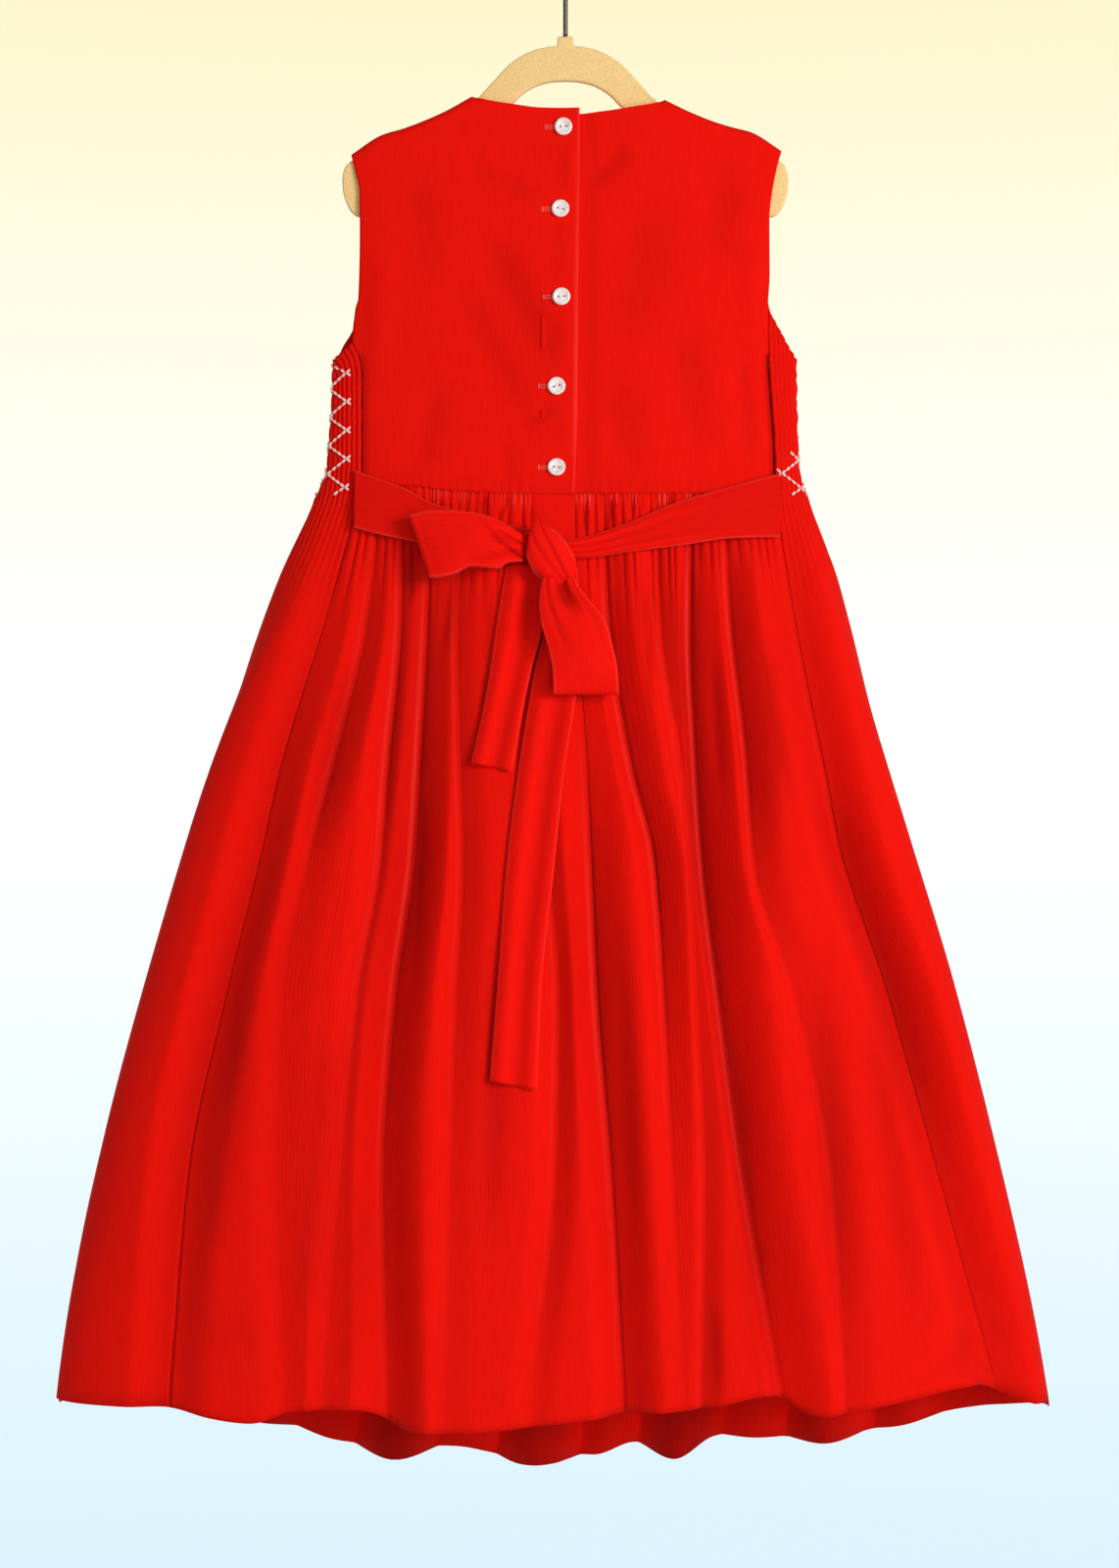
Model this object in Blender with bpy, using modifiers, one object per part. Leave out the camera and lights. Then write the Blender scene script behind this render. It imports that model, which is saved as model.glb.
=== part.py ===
"""A girl's sleeveless corduroy dress with a smocked front, on a flocked hanger.

The dress hangs with its buttoned back towards -Y and its smocked front towards +Y. The origin is the
inside top of the hanger's hook, where a rail carries it. Lengths are in millimetres until a mesh is made.
"""

import math
from collections import namedtuple

import bmesh
import bpy
import numpy as np

MM = 0.001
MERGE = 0.01 * MM
NAME = "smocked_dress_on_a_hanger"

# Cloth
CLOTH = 1.3  # wall of the corduroy
SASH_CLOTH = 2.0  # the sash is a flat tube of two layers
SEAM_GAP = 0.3  # between pieces that are sewn together
SEAM_EDGE = 0.28  # how far each edge stays off the seam line, with room for the facets
SIDE_SEAM_EDGE = 0.45  # and at the skirt's side seams, whose facets differ more
SETTLE = 3  # rounds in which the heights of a row and its places across come to agree
LAY_GAP = 0.4  # between a piece and what it lies on
BACK = -1
FRONT = 1

# The plain outline of the dress, from the shoulders to the hem. Above the underarm, left and right are
# where the sides would meet, which keeps the cloth clear of the hanger at the armholes.
Section = namedtuple("Section", "z left right back front")
SECTIONS = (
    Section(-100, -151, 150, 9.5, 9.5),
    Section(-145, -151, 150, 10, 10),
    Section(-200, -151, 150, 14, 15),
    Section(-275, -150.6, 149.7, 18, 21),
    Section(-344, -154.2, 151, 22, 25),
    Section(-370, -164.5, 159.4, 27, 29),
    Section(-420, -188.8, 179.8, 35, 36),
    Section(-510, -222.1, 204.2, 45, 45),
    Section(-638, -261.8, 241.9, 55, 55),
    Section(-779, -300.2, 278.4, 63, 62),
    Section(-907, -327, 307.2, 68, 66),
    Section(-1010, -341, 324, 71, 69),
)
OUTLINE_SQUARE = 2.6  # how square the outline is across, where 2 is an ellipse
OUTLINE_ROUND = 2.2  # and how square it is in depth

# Seam lines, as height over place across
Mark = namedtuple("Mark", "x z")
WAIST = (
    Mark(-133, -359.5),
    Mark(-102, -359),
    Mark(-79, -362),
    Mark(-52, -363.7),
    Mark(-21, -364.6),
    Mark(83, -364),
    Mark(136, -359.8),
)
BACK_HEM = (
    Mark(-321, -950),
    Mark(-263, -949),
    Mark(-200, -956),
    Mark(-170, -948),
    Mark(-135, -946.5),
    Mark(-97, -961),
    Mark(-69, -960.5),
    Mark(25, -951),
    Mark(90, -945),
    Mark(128, -938),
    Mark(159, -952),
    Mark(205, -945),
    Mark(262, -936),
    Mark(304, -952),
)
FRONT_HEM = (
    Mark(-336, -955),
    Mark(-265, -966),
    Mark(-199, -979),
    Mark(-150, -994),
    Mark(-115, -1003),
    Mark(-72, -998),
    Mark(-30, -1008),
    Mark(19, -1004),
    Mark(44, -996),
    Mark(72, -1003),
    Mark(100, -991),
    Mark(170, -992),
    Mark(215, -983),
    Mark(262, -969),
    Mark(320, -957),
)

# Back bodice. Each half runs from the side seam and armhole to the centre back; the left half laps over.
Edge = namedtuple("Edge", "z x")
BACK_SIDE_LEFT = (
    Edge(-363, -133),
    Edge(-345, -132.5),
    Edge(-285, -132.7),
    Edge(-274, -134.5),
    Edge(-264, -138.5),
    Edge(-243, -136.5),
    Edge(-236, -134.6),
    Edge(-198, -133.7),
    Edge(-166, -134),
    Edge(-154, -136.5),
    Edge(-141.4, -139.5),
)
BACK_SIDE_RIGHT = (
    Edge(-363, 135.6),
    Edge(-347, 136.2),
    Edge(-265, 131.8),
    Edge(-243, 131.5),
    Edge(-220, 132.7),
    Edge(-184, 132.7),
    Edge(-168, 134.3),
    Edge(-150, 137.8),
    Edge(-138.9, 140.8),
)
LAP_EDGE = (Edge(-363, 5.7), Edge(-320, 7.3), Edge(-113, 9.2))  # free edge of the left half
UNDERLAP_EDGE_X = -16
UNDERLAP_DROP = CLOTH + LAY_GAP
UNDERLAP_BLEND = (10, 24)  # the right half comes up to the surface between these places
BACK_TOP_LEFT = (
    Mark(-139.5, -141.4),
    Mark(-119.4, -128.6),
    Mark(-104.6, -124.2),
    Mark(-79.4, -113.9),
    Mark(-60.8, -103.7),
    Mark(-57.2, -105.6),
    Mark(-35.7, -109.6),
    Mark(-14.7, -112.2),
    Mark(-2, -112.4),
    Mark(9.2, -112.2),
)
BACK_TOP_RIGHT = (
    Mark(-16, -116.6),
    Mark(-4, -116.4),
    Mark(9.5, -116),
    Mark(24, -114.6),
    Mark(43.9, -111.5),
    Mark(61, -108.2),
    Mark(64.6, -105.9),
    Mark(81.3, -113.9),
    Mark(98, -120.5),
    Mark(110.7, -124.2),
    Mark(120.6, -126.7),
    Mark(140.8, -138.9),
)
NECK_LEFT = BACK_TOP_LEFT[4]
NECK_RIGHT = BACK_TOP_RIGHT[6]
SHOULDER_ROLL = 5  # height over which the shoulder bends across the hanger
SHOULDER_EDGE = 0.4  # the shoulder seam's two edges stand this far from the hanger's plane
WAIST_CLEAR = 0.06  # more room at the waist seam, for the facets of the gathers
BODICE_ROWS = (0, 0.065, 0.13, 0.23, 0.34, 0.39, 0.44, 0.53, 0.68, 0.83, 0.93, 0.975, 0.992, 1)

# Front yoke
YOKE_SEAM_Z = -275.2
YOKE_SIDE_LEFT = (
    Edge(-275.2, -149.2),
    Edge(-266, -146),
    Edge(-255, -140),
    Edge(-235, -133),
    Edge(-200, -131.5),
    Edge(-170, -132.5),
    Edge(-155, -135.5),
    Edge(-141.4, -139.5),
)
YOKE_SIDE_RIGHT = (
    Edge(-275.2, 148.4),
    Edge(-266, 145.5),
    Edge(-255, 140),
    Edge(-235, 133),
    Edge(-200, 131),
    Edge(-170, 132.5),
    Edge(-155, 136),
    Edge(-138.9, 140.8),
)
NECKLINE_DROP = 64  # the front neckline lies this far below the neck points
NECKLINE_ANGLES = (4, 18, 36, 54, 72, 90, 108, 126, 144, 162, 176)  # round the half ellipse, in degrees
YOKE_ROWS = (0, 0.2, 0.42, 0.64, 0.84, 0.95, 0.984, 1)

# Back skirt. Troughs run from the waist to the hem: where each lies and how deep it is at TROUGH_Z.
# left_reach and right_reach are how far its sides rise to the crests, in mm.
TROUGH_Z = (-363, -451, -539, -601, -688, -799, -937)
Trough = namedtuple("Trough", "name across depth left_reach right_reach")
LEFT_TROUGHS = (
    Trough("side", (-133, -158, -186, -201, -223, -245, -254), (1, 6, 10, 14, 16, 12, 8), 26, 30),
    Trough("hip", (-119, -129, -150, -165, -180, -183, -177), (1, 7, 9, 5, 3, 3, 4), 18, 22),
    Trough("panel", (-104, -106, -114, -118, -132, -142, -153), (1, 6, 10, 8, 5, 5, 4), 18, 20),
    Trough("long", (-86, -89, -94, -98, -110, -117, -113), (1, 8, 15, 19, 20, 18, 16), 24, 28),
    Trough("faint", (-63, -69, -67, -65, -69, -72, -75), (1, 4, 4, 5, 5, 3, 2), 16, 18),
    Trough("placket", (-22, -20, -17, -11, -4, -6, -20), (0, 3, 4, 5, 8, 7, 3), 18, 16),
    Trough("centre", (6, 8, 14, 17, 21, 30, 38), (0, 2, 6, 12, 15, 15, 15), 22, 26),
)
RIGHT_TROUGHS = (
    LEFT_TROUGHS[-1],
    Trough("beside", (25, 29, 43, 58, 64, 69, 76), (1, 8, 11, 12, 10, 5, 2), 15, 22),
    Trough("middle", (59, 62, 75, 80, 84, 89, 87), (1, 6, 3, 2, 3, 4, 5), 15, 14),
    Trough("crisp", (82, 82, 86, 90, 100, 115, 139), (1, 13, 20, 22, 20, 17, 15), 12, 34),
    Trough("short", (103, 109, 119, 122, 148, 171, 179), (1, 11, 14, 8, 2, 4, 4), 14, 20),
    Trough("side", (135.6, 153, 172, 187, 218, 247, 283), (1, 12, 16, 24, 26, 20, 14), 30, 26),
)
LEFT_GATHERS = (3, 3, 3, 4, 6, 0)  # between one trough and the next; none beside the placket
RIGHT_GATHERS = (3, 6, 4, 4, 6)
PLACKET_COLUMNS = 6
GATHER_HEIGHT = 1.5  # a gather's crest above the middle of the cloth
GATHER_END_Z = -455
SKIRT_ROWS = (0.03, 0.08, 0.14, 0.22, 0.32, 0.43, 0.56, 0.7, 0.85, 1)  # alike in front and at the back

# Smocked front: one piece from the yoke seam to the hem, which wraps round to the back at both sides.
# Each cell is four pleats and one diamond of the stitching; below the smocking it opens into a fold.
SMOCK_END_Z = -365.5
SMOCK_STRIP_TOP = (-264.5, -243.5)  # the left and the right strip reach up to here at the back
SMOCK_ROWS = 10
SMOCK_DIAMOND_HEIGHT = 18.7
PLEATS_PER_CELL = 4
PLEAT_HEIGHT = 1.1
SMOCK_PUFF = 1.0  # cloth swells between the lines of stitches
SMOCK_PUFF_SLOPE = 1.6
SMOCK_INSIDE = 2.1  # the plain inside lies this far behind the middle of the pleats
STRIP_TURN = 0.2  # the strips begin to rise this share of the way round to the side seams
Fold = namedtuple("Fold", "width depth_high depth_low reach")  # width at the hem, and its right trough
FRONT_FOLDS = (
    Fold(110, 3, 4, 22),
    Fold(75, 6, 12, 26),
    Fold(69, 9, 20, 28),
    Fold(49, 5, 9, 20),
    Fold(47, 9, 24, 28),
    Fold(48, 4, 8, 20),
    Fold(48, 9, 22, 28),
    Fold(48, 6, 10, 20),
    Fold(48, 10, 24, 28),
    Fold(49, 5, 8, 20),
    Fold(50, 9, 20, 26),
    Fold(57, 6, 12, 24),
    Fold(75, 3, 4, 22),
    Fold(85, 0, 0, 22),
)
FOLDS_OPEN_Z = (-365, -620)  # the pleats spread into folds between these heights
FOLDS_DEEPEN = (450, 900)  # and the folds go from their high depth to their low one, this far down
PLEAT_END_Z = -485
RING_POINTS = 400
INSIDE_ROWS = 5
INSIDE_STEP = 4  # the plain inside has one column to this many outside

# Sash, tied in a bow at the centre back
Band = namedtuple("Band", "x high low")
LEFT_TIE = (
    Band(-136.5, -348.5, -386.5),
    Band(-122, -354, -390.5),
    Band(-103, -361.5, -394.8),
    Band(-86, -371, -398),
    Band(-60, -379, -402),
    Band(-30, -387, -406),
    Band(-18, -389, -406.5),
)
RIGHT_TIE = (
    Band(138.5, -350.5, -392.5),
    Band(108, -359.6, -393.6),
    Band(74, -369.6, -398.6),
    Band(40, -384, -403),
    Band(10, -394, -407),
    Band(-4, -396, -407),
)
TIE_COLUMNS = 6
TIE_ROWS = 11
TIE_FOLD = 1.1
TIE_FOLDS = 2
TIE_CLEAR = 0.7  # the tie stands this much further off where the cloth turns in at the side seam
KNOT_PLACE = (-10.4, -404.6)
KNOT_SIZE = (38, 20, 44)
KNOT_LEAN = 0.16  # its sides lean, x over z
KNOT_SQUARE = 0.72  # how full its corners are, where 1 is an ellipsoid
KNOT_SEGMENTS = 14
KNOT_RINGS = 9
KNOT_TUCK = 0.05
KNOT_TUCKS = 6
LOOP_CLOTH = 1.6
LEFT_LOOP = (
    Band(-31, -392, -411.5),
    Band(-45, -382.6, -412.2),
    Band(-66, -378.4, -416),
    Band(-86, -377.6, -421),
    Band(-100, -380.6, -423),
)
LEFT_LOOP_LEAN = 13.9  # the loop's end leans this far across from its top to its bottom
Fall = namedtuple("Fall", "z left right")
RIGHT_LOOP = (
    Fall(-426.4, -15.5, 7),
    Fall(-438, -16.5, 17),
    Fall(-449, -15.5, 25.3),
    Fall(-464, -11.3, 29.5),
    Fall(-480, -8.2, 32.8),
    Fall(-494.5, -7.6, 33.8),
)
LOOP_STAND = 7.5  # a loop's middle lies this far off the layers of the sash behind it
RIGHT_LOOP_MIDDLE_X = 5
LOOP_TURN = 4.5  # radius of the fold at a loop's end
LOOP_SWELL = 7
LOOP_FULLNESS = 0.8
LOOP_LAYER_STEPS = 6
LOOP_TURN_STEPS = 3
LOOP_COLUMNS = 4
SHORT_TAIL = (
    Fall(-411, -38, -16),
    Fall(-430, -41, -13),
    Fall(-448, -43.7, -14.5),
    Fall(-480, -48, -22.4),
    Fall(-510, -53.2, -28.6),
    Fall(-541, -60, -34),
)
LONG_TAIL = (
    Fall(-411, -13.5, 7),
    Fall(-440, -12, 9),
    Fall(-484, -20.6, 7.5),
    Fall(-540, -29.6, -0.5),
    Fall(-609, -37.9, -8),
    Fall(-678, -42.8, -15.5),
    Fall(-742, -47.8, -18.1),
)
TAIL_COLUMNS = 6
SHORT_TAIL_ROWS = 9
LONG_TAIL_ROWS = 16
TAIL_FOLD = 1.6
TAIL_FOLDS = 1.5
TAIL_FOLD_DRIFT = 0.15
TAIL_END_SLOPE = 0.2  # the tails are cut a little askew

# Buttons
Button = namedtuple("Button", "x z")
BUTTONS = (
    Button(-1.3, -124.9),
    Button(-3.2, -178.7),
    Button(-2.6, -236.3),
    Button(-5.7, -294.6),
    Button(-5.7, -347.5),
)
BUTTON_RADIUS = 5.75
BUTTON_SEGMENTS = 16
BUTTON_PROFILE = ((0, 0), (4.2, 0), (5.75, 0.8), (5.75, 1.7), (5.1, 2.4), (4.1, 2.1), (3.3, 1.5), (0, 1.5))

# Hanger
HANGER_THICKNESS = 6
HANGER_ROUND = 1.6
HANGER_TOP = (
    Mark(10.5, -70.5),
    Mark(20.2, -72.8),
    Mark(29.3, -77),
    Mark(38, -83.4),
    Mark(48, -94.2),
    Mark(61, -107.2),
    Mark(80, -116.2),
    Mark(105, -127),
    Mark(120, -132),
    Mark(138, -144),
    Mark(143.5, -149),
    Mark(145.5, -157),
)
HANGER_BOTTOM = (
    Mark(144.5, -168),
    Mark(140, -178),
    Mark(133, -181.5),
    Mark(122, -176),
    Mark(100, -157),
    Mark(75, -139.5),
    Mark(52, -124),
    Mark(36, -109.4),
    Mark(29, -102.3),
    Mark(20, -96.6),
    Mark(10, -93.7),
    Mark(0, -93),
)
BOSS_FOOT = (5.6, -69.8)
BOSS_TOP = (4.4, -64)
HOOK_WIRE = 1.6
HOOK_INSIDE = 17
HOOK_POINTS = 22
HOOK_OPEN_ANGLE = math.radians(215)

RED = (0.72, 0.012, 0.006, 1)
RED_SASH = (0.78, 0.016, 0.008, 1)
PEARL = (0.83, 0.8, 0.78, 1)
BEIGE = (0.86, 0.62, 0.33, 1)
STEEL = (0.16, 0.15, 0.14, 1)


def smooth(places, values, at):
    """Reads a table between its rows along a smooth curve that never overshoots a row."""
    places = np.asarray(places, float)
    values = np.asarray(values, float)
    if places[0] > places[-1]:
        places = places[::-1]
        values = values[::-1]
    gaps = np.diff(places)
    rises = np.diff(values) / gaps
    slopes = np.zeros_like(values)
    same = rises[1:] * rises[:-1] > 0
    mean = 2 * rises[1:] * rises[:-1] / np.where(same, rises[1:] + rises[:-1], 1)
    slopes[1:-1] = np.where(same, mean, 0)
    slopes[0] = rises[0]
    slopes[-1] = rises[-1]
    at = np.clip(np.asarray(at, float), places[0], places[-1])
    i = np.clip(np.searchsorted(places, at) - 1, 0, len(gaps) - 1)
    t = (at - places[i]) / gaps[i]
    ease = t * t * (3 - 2 * t)
    start = t * (1 - t) ** 2 * gaps[i] * slopes[i]
    end = t * t * (t - 1) * gaps[i] * slopes[i + 1]
    return values[i] * (1 - ease) + values[i + 1] * ease + start + end


def read(table, of, over, at):
    """Reads the column named by of in a table of rows, over the column named by over."""
    return smooth([getattr(row, over) for row in table], [getattr(row, of) for row in table], at)


def ramp(value, start, end):
    """Rises smoothly from 0 at start to 1 at end."""
    t = np.clip((np.asarray(value, float) - start) / (end - start), 0, 1)
    return t * t * (3 - 2 * t)


def outline_depth(x, z, face):
    """How far the plain outline of the dress stands from the hanger's plane, at a place and a height."""
    left = read(SECTIONS, "left", "z", z)
    right = read(SECTIONS, "right", "z", z)
    depth = read(SECTIONS, "back" if face == BACK else "front", "z", z)
    across = np.clip(np.abs((x - (left + right) / 2) / ((right - left) / 2)), 0, 1)
    return depth * (1 - across**OUTLINE_SQUARE) ** (1 / OUTLINE_ROUND)


def outline_point(turn, z):
    """A point of the outline by its turn: 0 at the right side, 90 degrees in front, 270 at the back."""
    left = read(SECTIONS, "left", "z", z)
    right = read(SECTIONS, "right", "z", z)
    depth = np.where(np.sin(turn) > 0, read(SECTIONS, "front", "z", z), read(SECTIONS, "back", "z", z))
    cosine = np.cos(turn)
    sine = np.sin(turn)
    x = (left + right) / 2 + (right - left) / 2 * np.sign(cosine) * np.abs(cosine) ** (2 / OUTLINE_SQUARE)
    y = depth * np.sign(sine) * np.abs(sine) ** (2 / OUTLINE_ROUND)
    return x, y


def back_turn(x, z):
    """The turn of a place on the back."""
    left = read(SECTIONS, "left", "z", z)
    right = read(SECTIONS, "right", "z", z)
    across = (x - (left + right) / 2) / ((right - left) / 2)
    return 2 * math.pi - np.arccos(np.sign(across) * np.abs(across) ** (OUTLINE_SQUARE / 2))


def square_to(points, edge_normals):
    """Unit vectors square to a grid of points; its first and last columns take edge_normals."""
    along = np.gradient(points, axis=1)
    down = np.gradient(points, axis=0)
    normals = np.cross(along, down)
    normals /= np.linalg.norm(normals, axis=2, keepdims=True)
    normals[:, 0] = edge_normals[:, 0]
    normals[:, -1] = edge_normals[:, -1]
    return normals


class ClothMesh:
    """Gathers the walls of one piece of cloth into a closed mesh."""

    def __init__(self):
        self.points = []
        self.faces = []

    def add(self, grid):
        """Adds a grid of points and gives their numbers, in rows and columns."""
        grid = np.asarray(grid)
        first = len(self.points)
        self.points.extend(grid.reshape(-1, 3))
        return np.arange(first, len(self.points)).reshape(grid.shape[:2])

    def sheet(self, numbers):
        """Faces over a whole grid."""
        for row in range(len(numbers) - 1):
            self.strip(numbers[row], numbers[row + 1])

    def strip(self, one, other):
        """Faces between two lines of points, which may differ in how many they have."""
        i = 0
        j = 0
        while i < len(one) - 1 or j < len(other) - 1:
            here = (i + 1) / (len(one) - 1)
            there = (j + 1) / (len(other) - 1)
            if abs(here - there) < 1e-9:
                self.faces.append((one[i], one[i + 1], other[j + 1]))
                self.faces.append((one[i], other[j + 1], other[j]))
                i += 1
                j += 1
            elif here < there:
                self.faces.append((one[i], one[i + 1], other[j]))
                i += 1
            else:
                self.faces.append((one[i], other[j + 1], other[j]))
                j += 1

    def finish(self, name, material):
        """Makes the object, in metres, with its faces pointing out."""
        mesh = bpy.data.meshes.new(name)
        corners = [tuple(float(value) * MM for value in point) for point in self.points]
        mesh.from_pydata(corners, [], [tuple(int(number) for number in face) for face in self.faces])
        shape = bmesh.new()
        shape.from_mesh(mesh)
        bmesh.ops.recalc_face_normals(shape, faces=shape.faces)
        if shape.calc_volume(signed=True) < 0:
            bmesh.ops.reverse_faces(shape, faces=shape.faces)
        shape.to_mesh(mesh)
        shape.free()
        return link(bpy.data.objects.new(name, mesh), material)


def link(thing, material):
    """Puts a finished object in the dress's collection, with its material, shaded smooth."""
    collection = bpy.data.collections[NAME]
    for other in list(thing.users_collection):
        other.objects.unlink(thing)
    collection.objects.link(thing)
    thing.data.materials.append(material)
    return thing


def material(name, colour, roughness, metallic=0.0):
    """A plain finish."""
    finish = bpy.data.materials.new(name)
    finish.use_nodes = True
    shader = finish.node_tree.nodes["Principled BSDF"]
    shader.inputs["Base Color"].default_value = colour
    shader.inputs["Roughness"].default_value = roughness
    shader.inputs["Metallic"].default_value = metallic
    return finish


def wall_between(name, outer, inner, finish):
    """A closed wall between two grids with the same rows and columns."""
    cloth = ClothMesh()
    outside = cloth.add(outer)
    inside = cloth.add(inner)
    cloth.sheet(outside)
    cloth.sheet(inside)
    cloth.strip(outside[0], inside[0])
    cloth.strip(outside[-1], inside[-1])
    cloth.strip(outside[:, 0], inside[:, 0])
    cloth.strip(outside[:, -1], inside[:, -1])
    return cloth.finish(name, finish)


def shell(name, points, thickness, finish):
    """An open grid of points given a wall to both sides by Solidify."""
    rows = len(points)
    columns = len(points[0])
    shape = bmesh.new()
    grid = bmesh.ops.create_grid(shape, x_segments=columns - 1, y_segments=rows - 1, size=1)
    corners = sorted(grid["verts"], key=lambda corner: (round(corner.co.y, 4), round(corner.co.x, 4)))
    for corner, point in zip(corners, np.asarray(points).reshape(-1, 3)):
        corner.co = [float(value) * MM for value in point]
    mesh = bpy.data.meshes.new(name)
    shape.to_mesh(mesh)
    shape.free()
    thing = link(bpy.data.objects.new(name, mesh), finish)
    wall = thing.modifiers.new("Wall", "SOLIDIFY")
    wall.thickness = thickness * MM
    wall.offset = 0
    return thing


def shoulder_roll(top, z):
    """From 0 on the shoulder seam to 1 where the cloth has bent down over the hanger's edge."""
    if NECK_LEFT.x < top.x < NECK_RIGHT.x:
        return 1.0
    below = min(max((top.z - z) / SHOULDER_ROLL, 0), 1)
    return math.sqrt(1 - (1 - below) ** 2)


def panel(columns, rows, left_edge, right_edge, bottom_z, face):
    """Points of a bodice panel. Each column has its share across the bottom and its top point."""
    grid = []
    for share in rows:
        line = []
        for bottom_share, top in columns:
            left_top = read(left_edge, "x", "z", top.z)
            right_top = read(right_edge, "x", "z", top.z)
            top_share = (top.x - left_top) / (right_top - left_top)
            across = bottom_share + (top_share - bottom_share) * share
            bottom_left = read(left_edge, "x", "z", left_edge[0].z)
            bottom_right = read(right_edge, "x", "z", right_edge[0].z)
            low = bottom_z(bottom_left + bottom_share * (bottom_right - bottom_left))
            z = low + (top.z - low) * share
            left = read(left_edge, "x", "z", z)
            right = read(right_edge, "x", "z", z)
            x = left + across * (right - left)
            stand = outline_depth(x, z, face)
            depth = SHOULDER_EDGE + (stand - SHOULDER_EDGE) * shoulder_roll(top, z)
            line.append((float(x), face * float(depth), float(z)))
        grid.append(line)
    return np.array(grid)


def even_columns(tops):
    """Columns whose feet are spread along the bottom as their tops are along the top."""
    first = tops[0].x
    width = tops[-1].x - first
    return [((top.x - first) / width, top) for top in tops]


def shifted(edge, by):
    """A copy of an edge table, moved across."""
    return [Edge(row.z, row.x + by) for row in edge]


def waist_line(x):
    """The lower edge of the bodice."""
    return read(WAIST, "z", "x", x) + SEAM_EDGE / 2 + WAIST_CLEAR


def make_back_bodice(finish):
    """The two halves of the back. The left half laps over the right one and carries the buttonholes."""
    left_edge = shifted(BACK_SIDE_LEFT, SEAM_EDGE)
    left = panel(even_columns(BACK_TOP_LEFT), BODICE_ROWS, left_edge, LAP_EDGE, waist_line, BACK)
    shell("back_bodice_left", left, CLOTH, finish)
    right_edge = shifted(BACK_SIDE_RIGHT, -SEAM_EDGE)
    under_edge = [Edge(row.z, UNDERLAP_EDGE_X) for row in LAP_EDGE]
    right = panel(even_columns(BACK_TOP_RIGHT), BODICE_ROWS, under_edge, right_edge, waist_line, BACK)
    right[:, :, 1] += UNDERLAP_DROP * (1 - ramp(right[:, :, 0], *UNDERLAP_BLEND))
    shell("back_bodice_right", right, CLOTH, finish)


def make_front_yoke(finish):
    """The plain yoke above the smocking, with the round neckline between its shoulders."""
    middle = (NECK_LEFT.x + NECK_RIGHT.x) / 2
    half = (NECK_RIGHT.x - NECK_LEFT.x) / 2
    tops = list(BACK_TOP_LEFT[:5])
    for degrees in NECKLINE_ANGLES:
        angle = math.radians(degrees)
        high = NECK_LEFT.z + (NECK_RIGHT.z - NECK_LEFT.z) * degrees / 180
        tops.append(Mark(middle - half * math.cos(angle), high - NECKLINE_DROP * math.sin(angle)))
    tops += list(BACK_TOP_RIGHT[6:8]) + list(BACK_TOP_RIGHT[9:])
    columns = [(step / (len(tops) - 1), top) for step, top in enumerate(tops)]
    yoke = panel(columns, YOKE_ROWS, YOKE_SIDE_LEFT, YOKE_SIDE_RIGHT, lambda x: YOKE_SEAM_Z, FRONT)
    shell("front_yoke", yoke[:, ::-1], CLOTH, finish)


def trough_side(distance, reach):
    """How deep a trough still is at a distance from its bottom: 1 there, 0 from its reach on."""
    return 0.5 + 0.5 * np.cos(np.pi * np.clip(distance / reach, 0, 1))


def cell_columns(gathers):
    """The cell and the share across it for each column, with two columns a gather."""
    cells = []
    shares = []
    for cell, count in enumerate(gathers):
        columns = 2 * count if count else PLACKET_COLUMNS
        cells += [cell] * columns
        shares += [column / columns for column in range(columns)]
    return np.array(cells + [len(gathers) - 1]), np.array(shares + [1.0])


def back_skirt_grid(troughs, gathers, rows):
    """Points and plain normals of one half of the back skirt, from the waist seam down to the hem."""
    cells, shares = cell_columns(gathers)
    points = []
    normals = []
    for row in rows:
        z = np.full(len(cells), WAIST[0].z + (BACK_HEM[0].z - WAIST[0].z) * row)
        for _ in range(SETTLE):
            places = np.array([smooth(TROUGH_Z, trough.across, z) for trough in troughs])
            column = np.arange(len(cells))
            x = places[cells, column] * (1 - shares) + places[cells + 1, column] * shares
            z = read(WAIST, "z", "x", x) * (1 - row) + read(BACK_HEM, "z", "x", x) * row
        z = z - SEAM_GAP / 2 * (row == 0)
        drop = np.zeros(len(cells))
        for place, trough in zip(places, troughs):
            reach = np.where(x < place, trough.left_reach, trough.right_reach)
            side = smooth(TROUGH_Z, trough.depth, z) * trough_side(np.abs(x - place), reach)
            drop = np.maximum(drop, side)
        counts = np.array(gathers)[cells]
        gather = GATHER_HEIGHT * (1 - ramp(-z, -WAIST[0].z, -GATHER_END_Z)) * np.sign(counts)
        stand = outline_depth(x, z, BACK)
        slope = outline_depth(x + 0.5, z, BACK) - outline_depth(x - 0.5, z, BACK)
        length = np.sqrt(1 + slope**2)
        wave = -gather * np.cos(2 * np.pi * counts * shares) - drop
        points.append(np.stack([x - wave * slope / length, -stand - wave / length, z], axis=1))
        normals.append(np.stack([-slope / length, -1 / length, np.zeros_like(x)], axis=1))
    return np.array(points), np.array(normals)


def make_back_skirt(finish):
    """The two halves of the back skirt, gathered to the waist and seamed at the centre back."""
    for name, troughs, gathers in (
        ("skirt_back_left", LEFT_TROUGHS, LEFT_GATHERS),
        ("skirt_back_right", RIGHT_TROUGHS, RIGHT_GATHERS),
    ):
        points, plain = back_skirt_grid(troughs, gathers, (0,) + SKIRT_ROWS)
        points[:, 0, 0] += SIDE_SEAM_EDGE if troughs is LEFT_TROUGHS else SEAM_EDGE
        points[:, -1, 0] -= SEAM_EDGE if troughs is LEFT_TROUGHS else SIDE_SEAM_EDGE
        normals = square_to(points, -plain)
        wall_between(name, points + normals * CLOTH / 2, points - normals * CLOTH / 2, finish)


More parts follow.
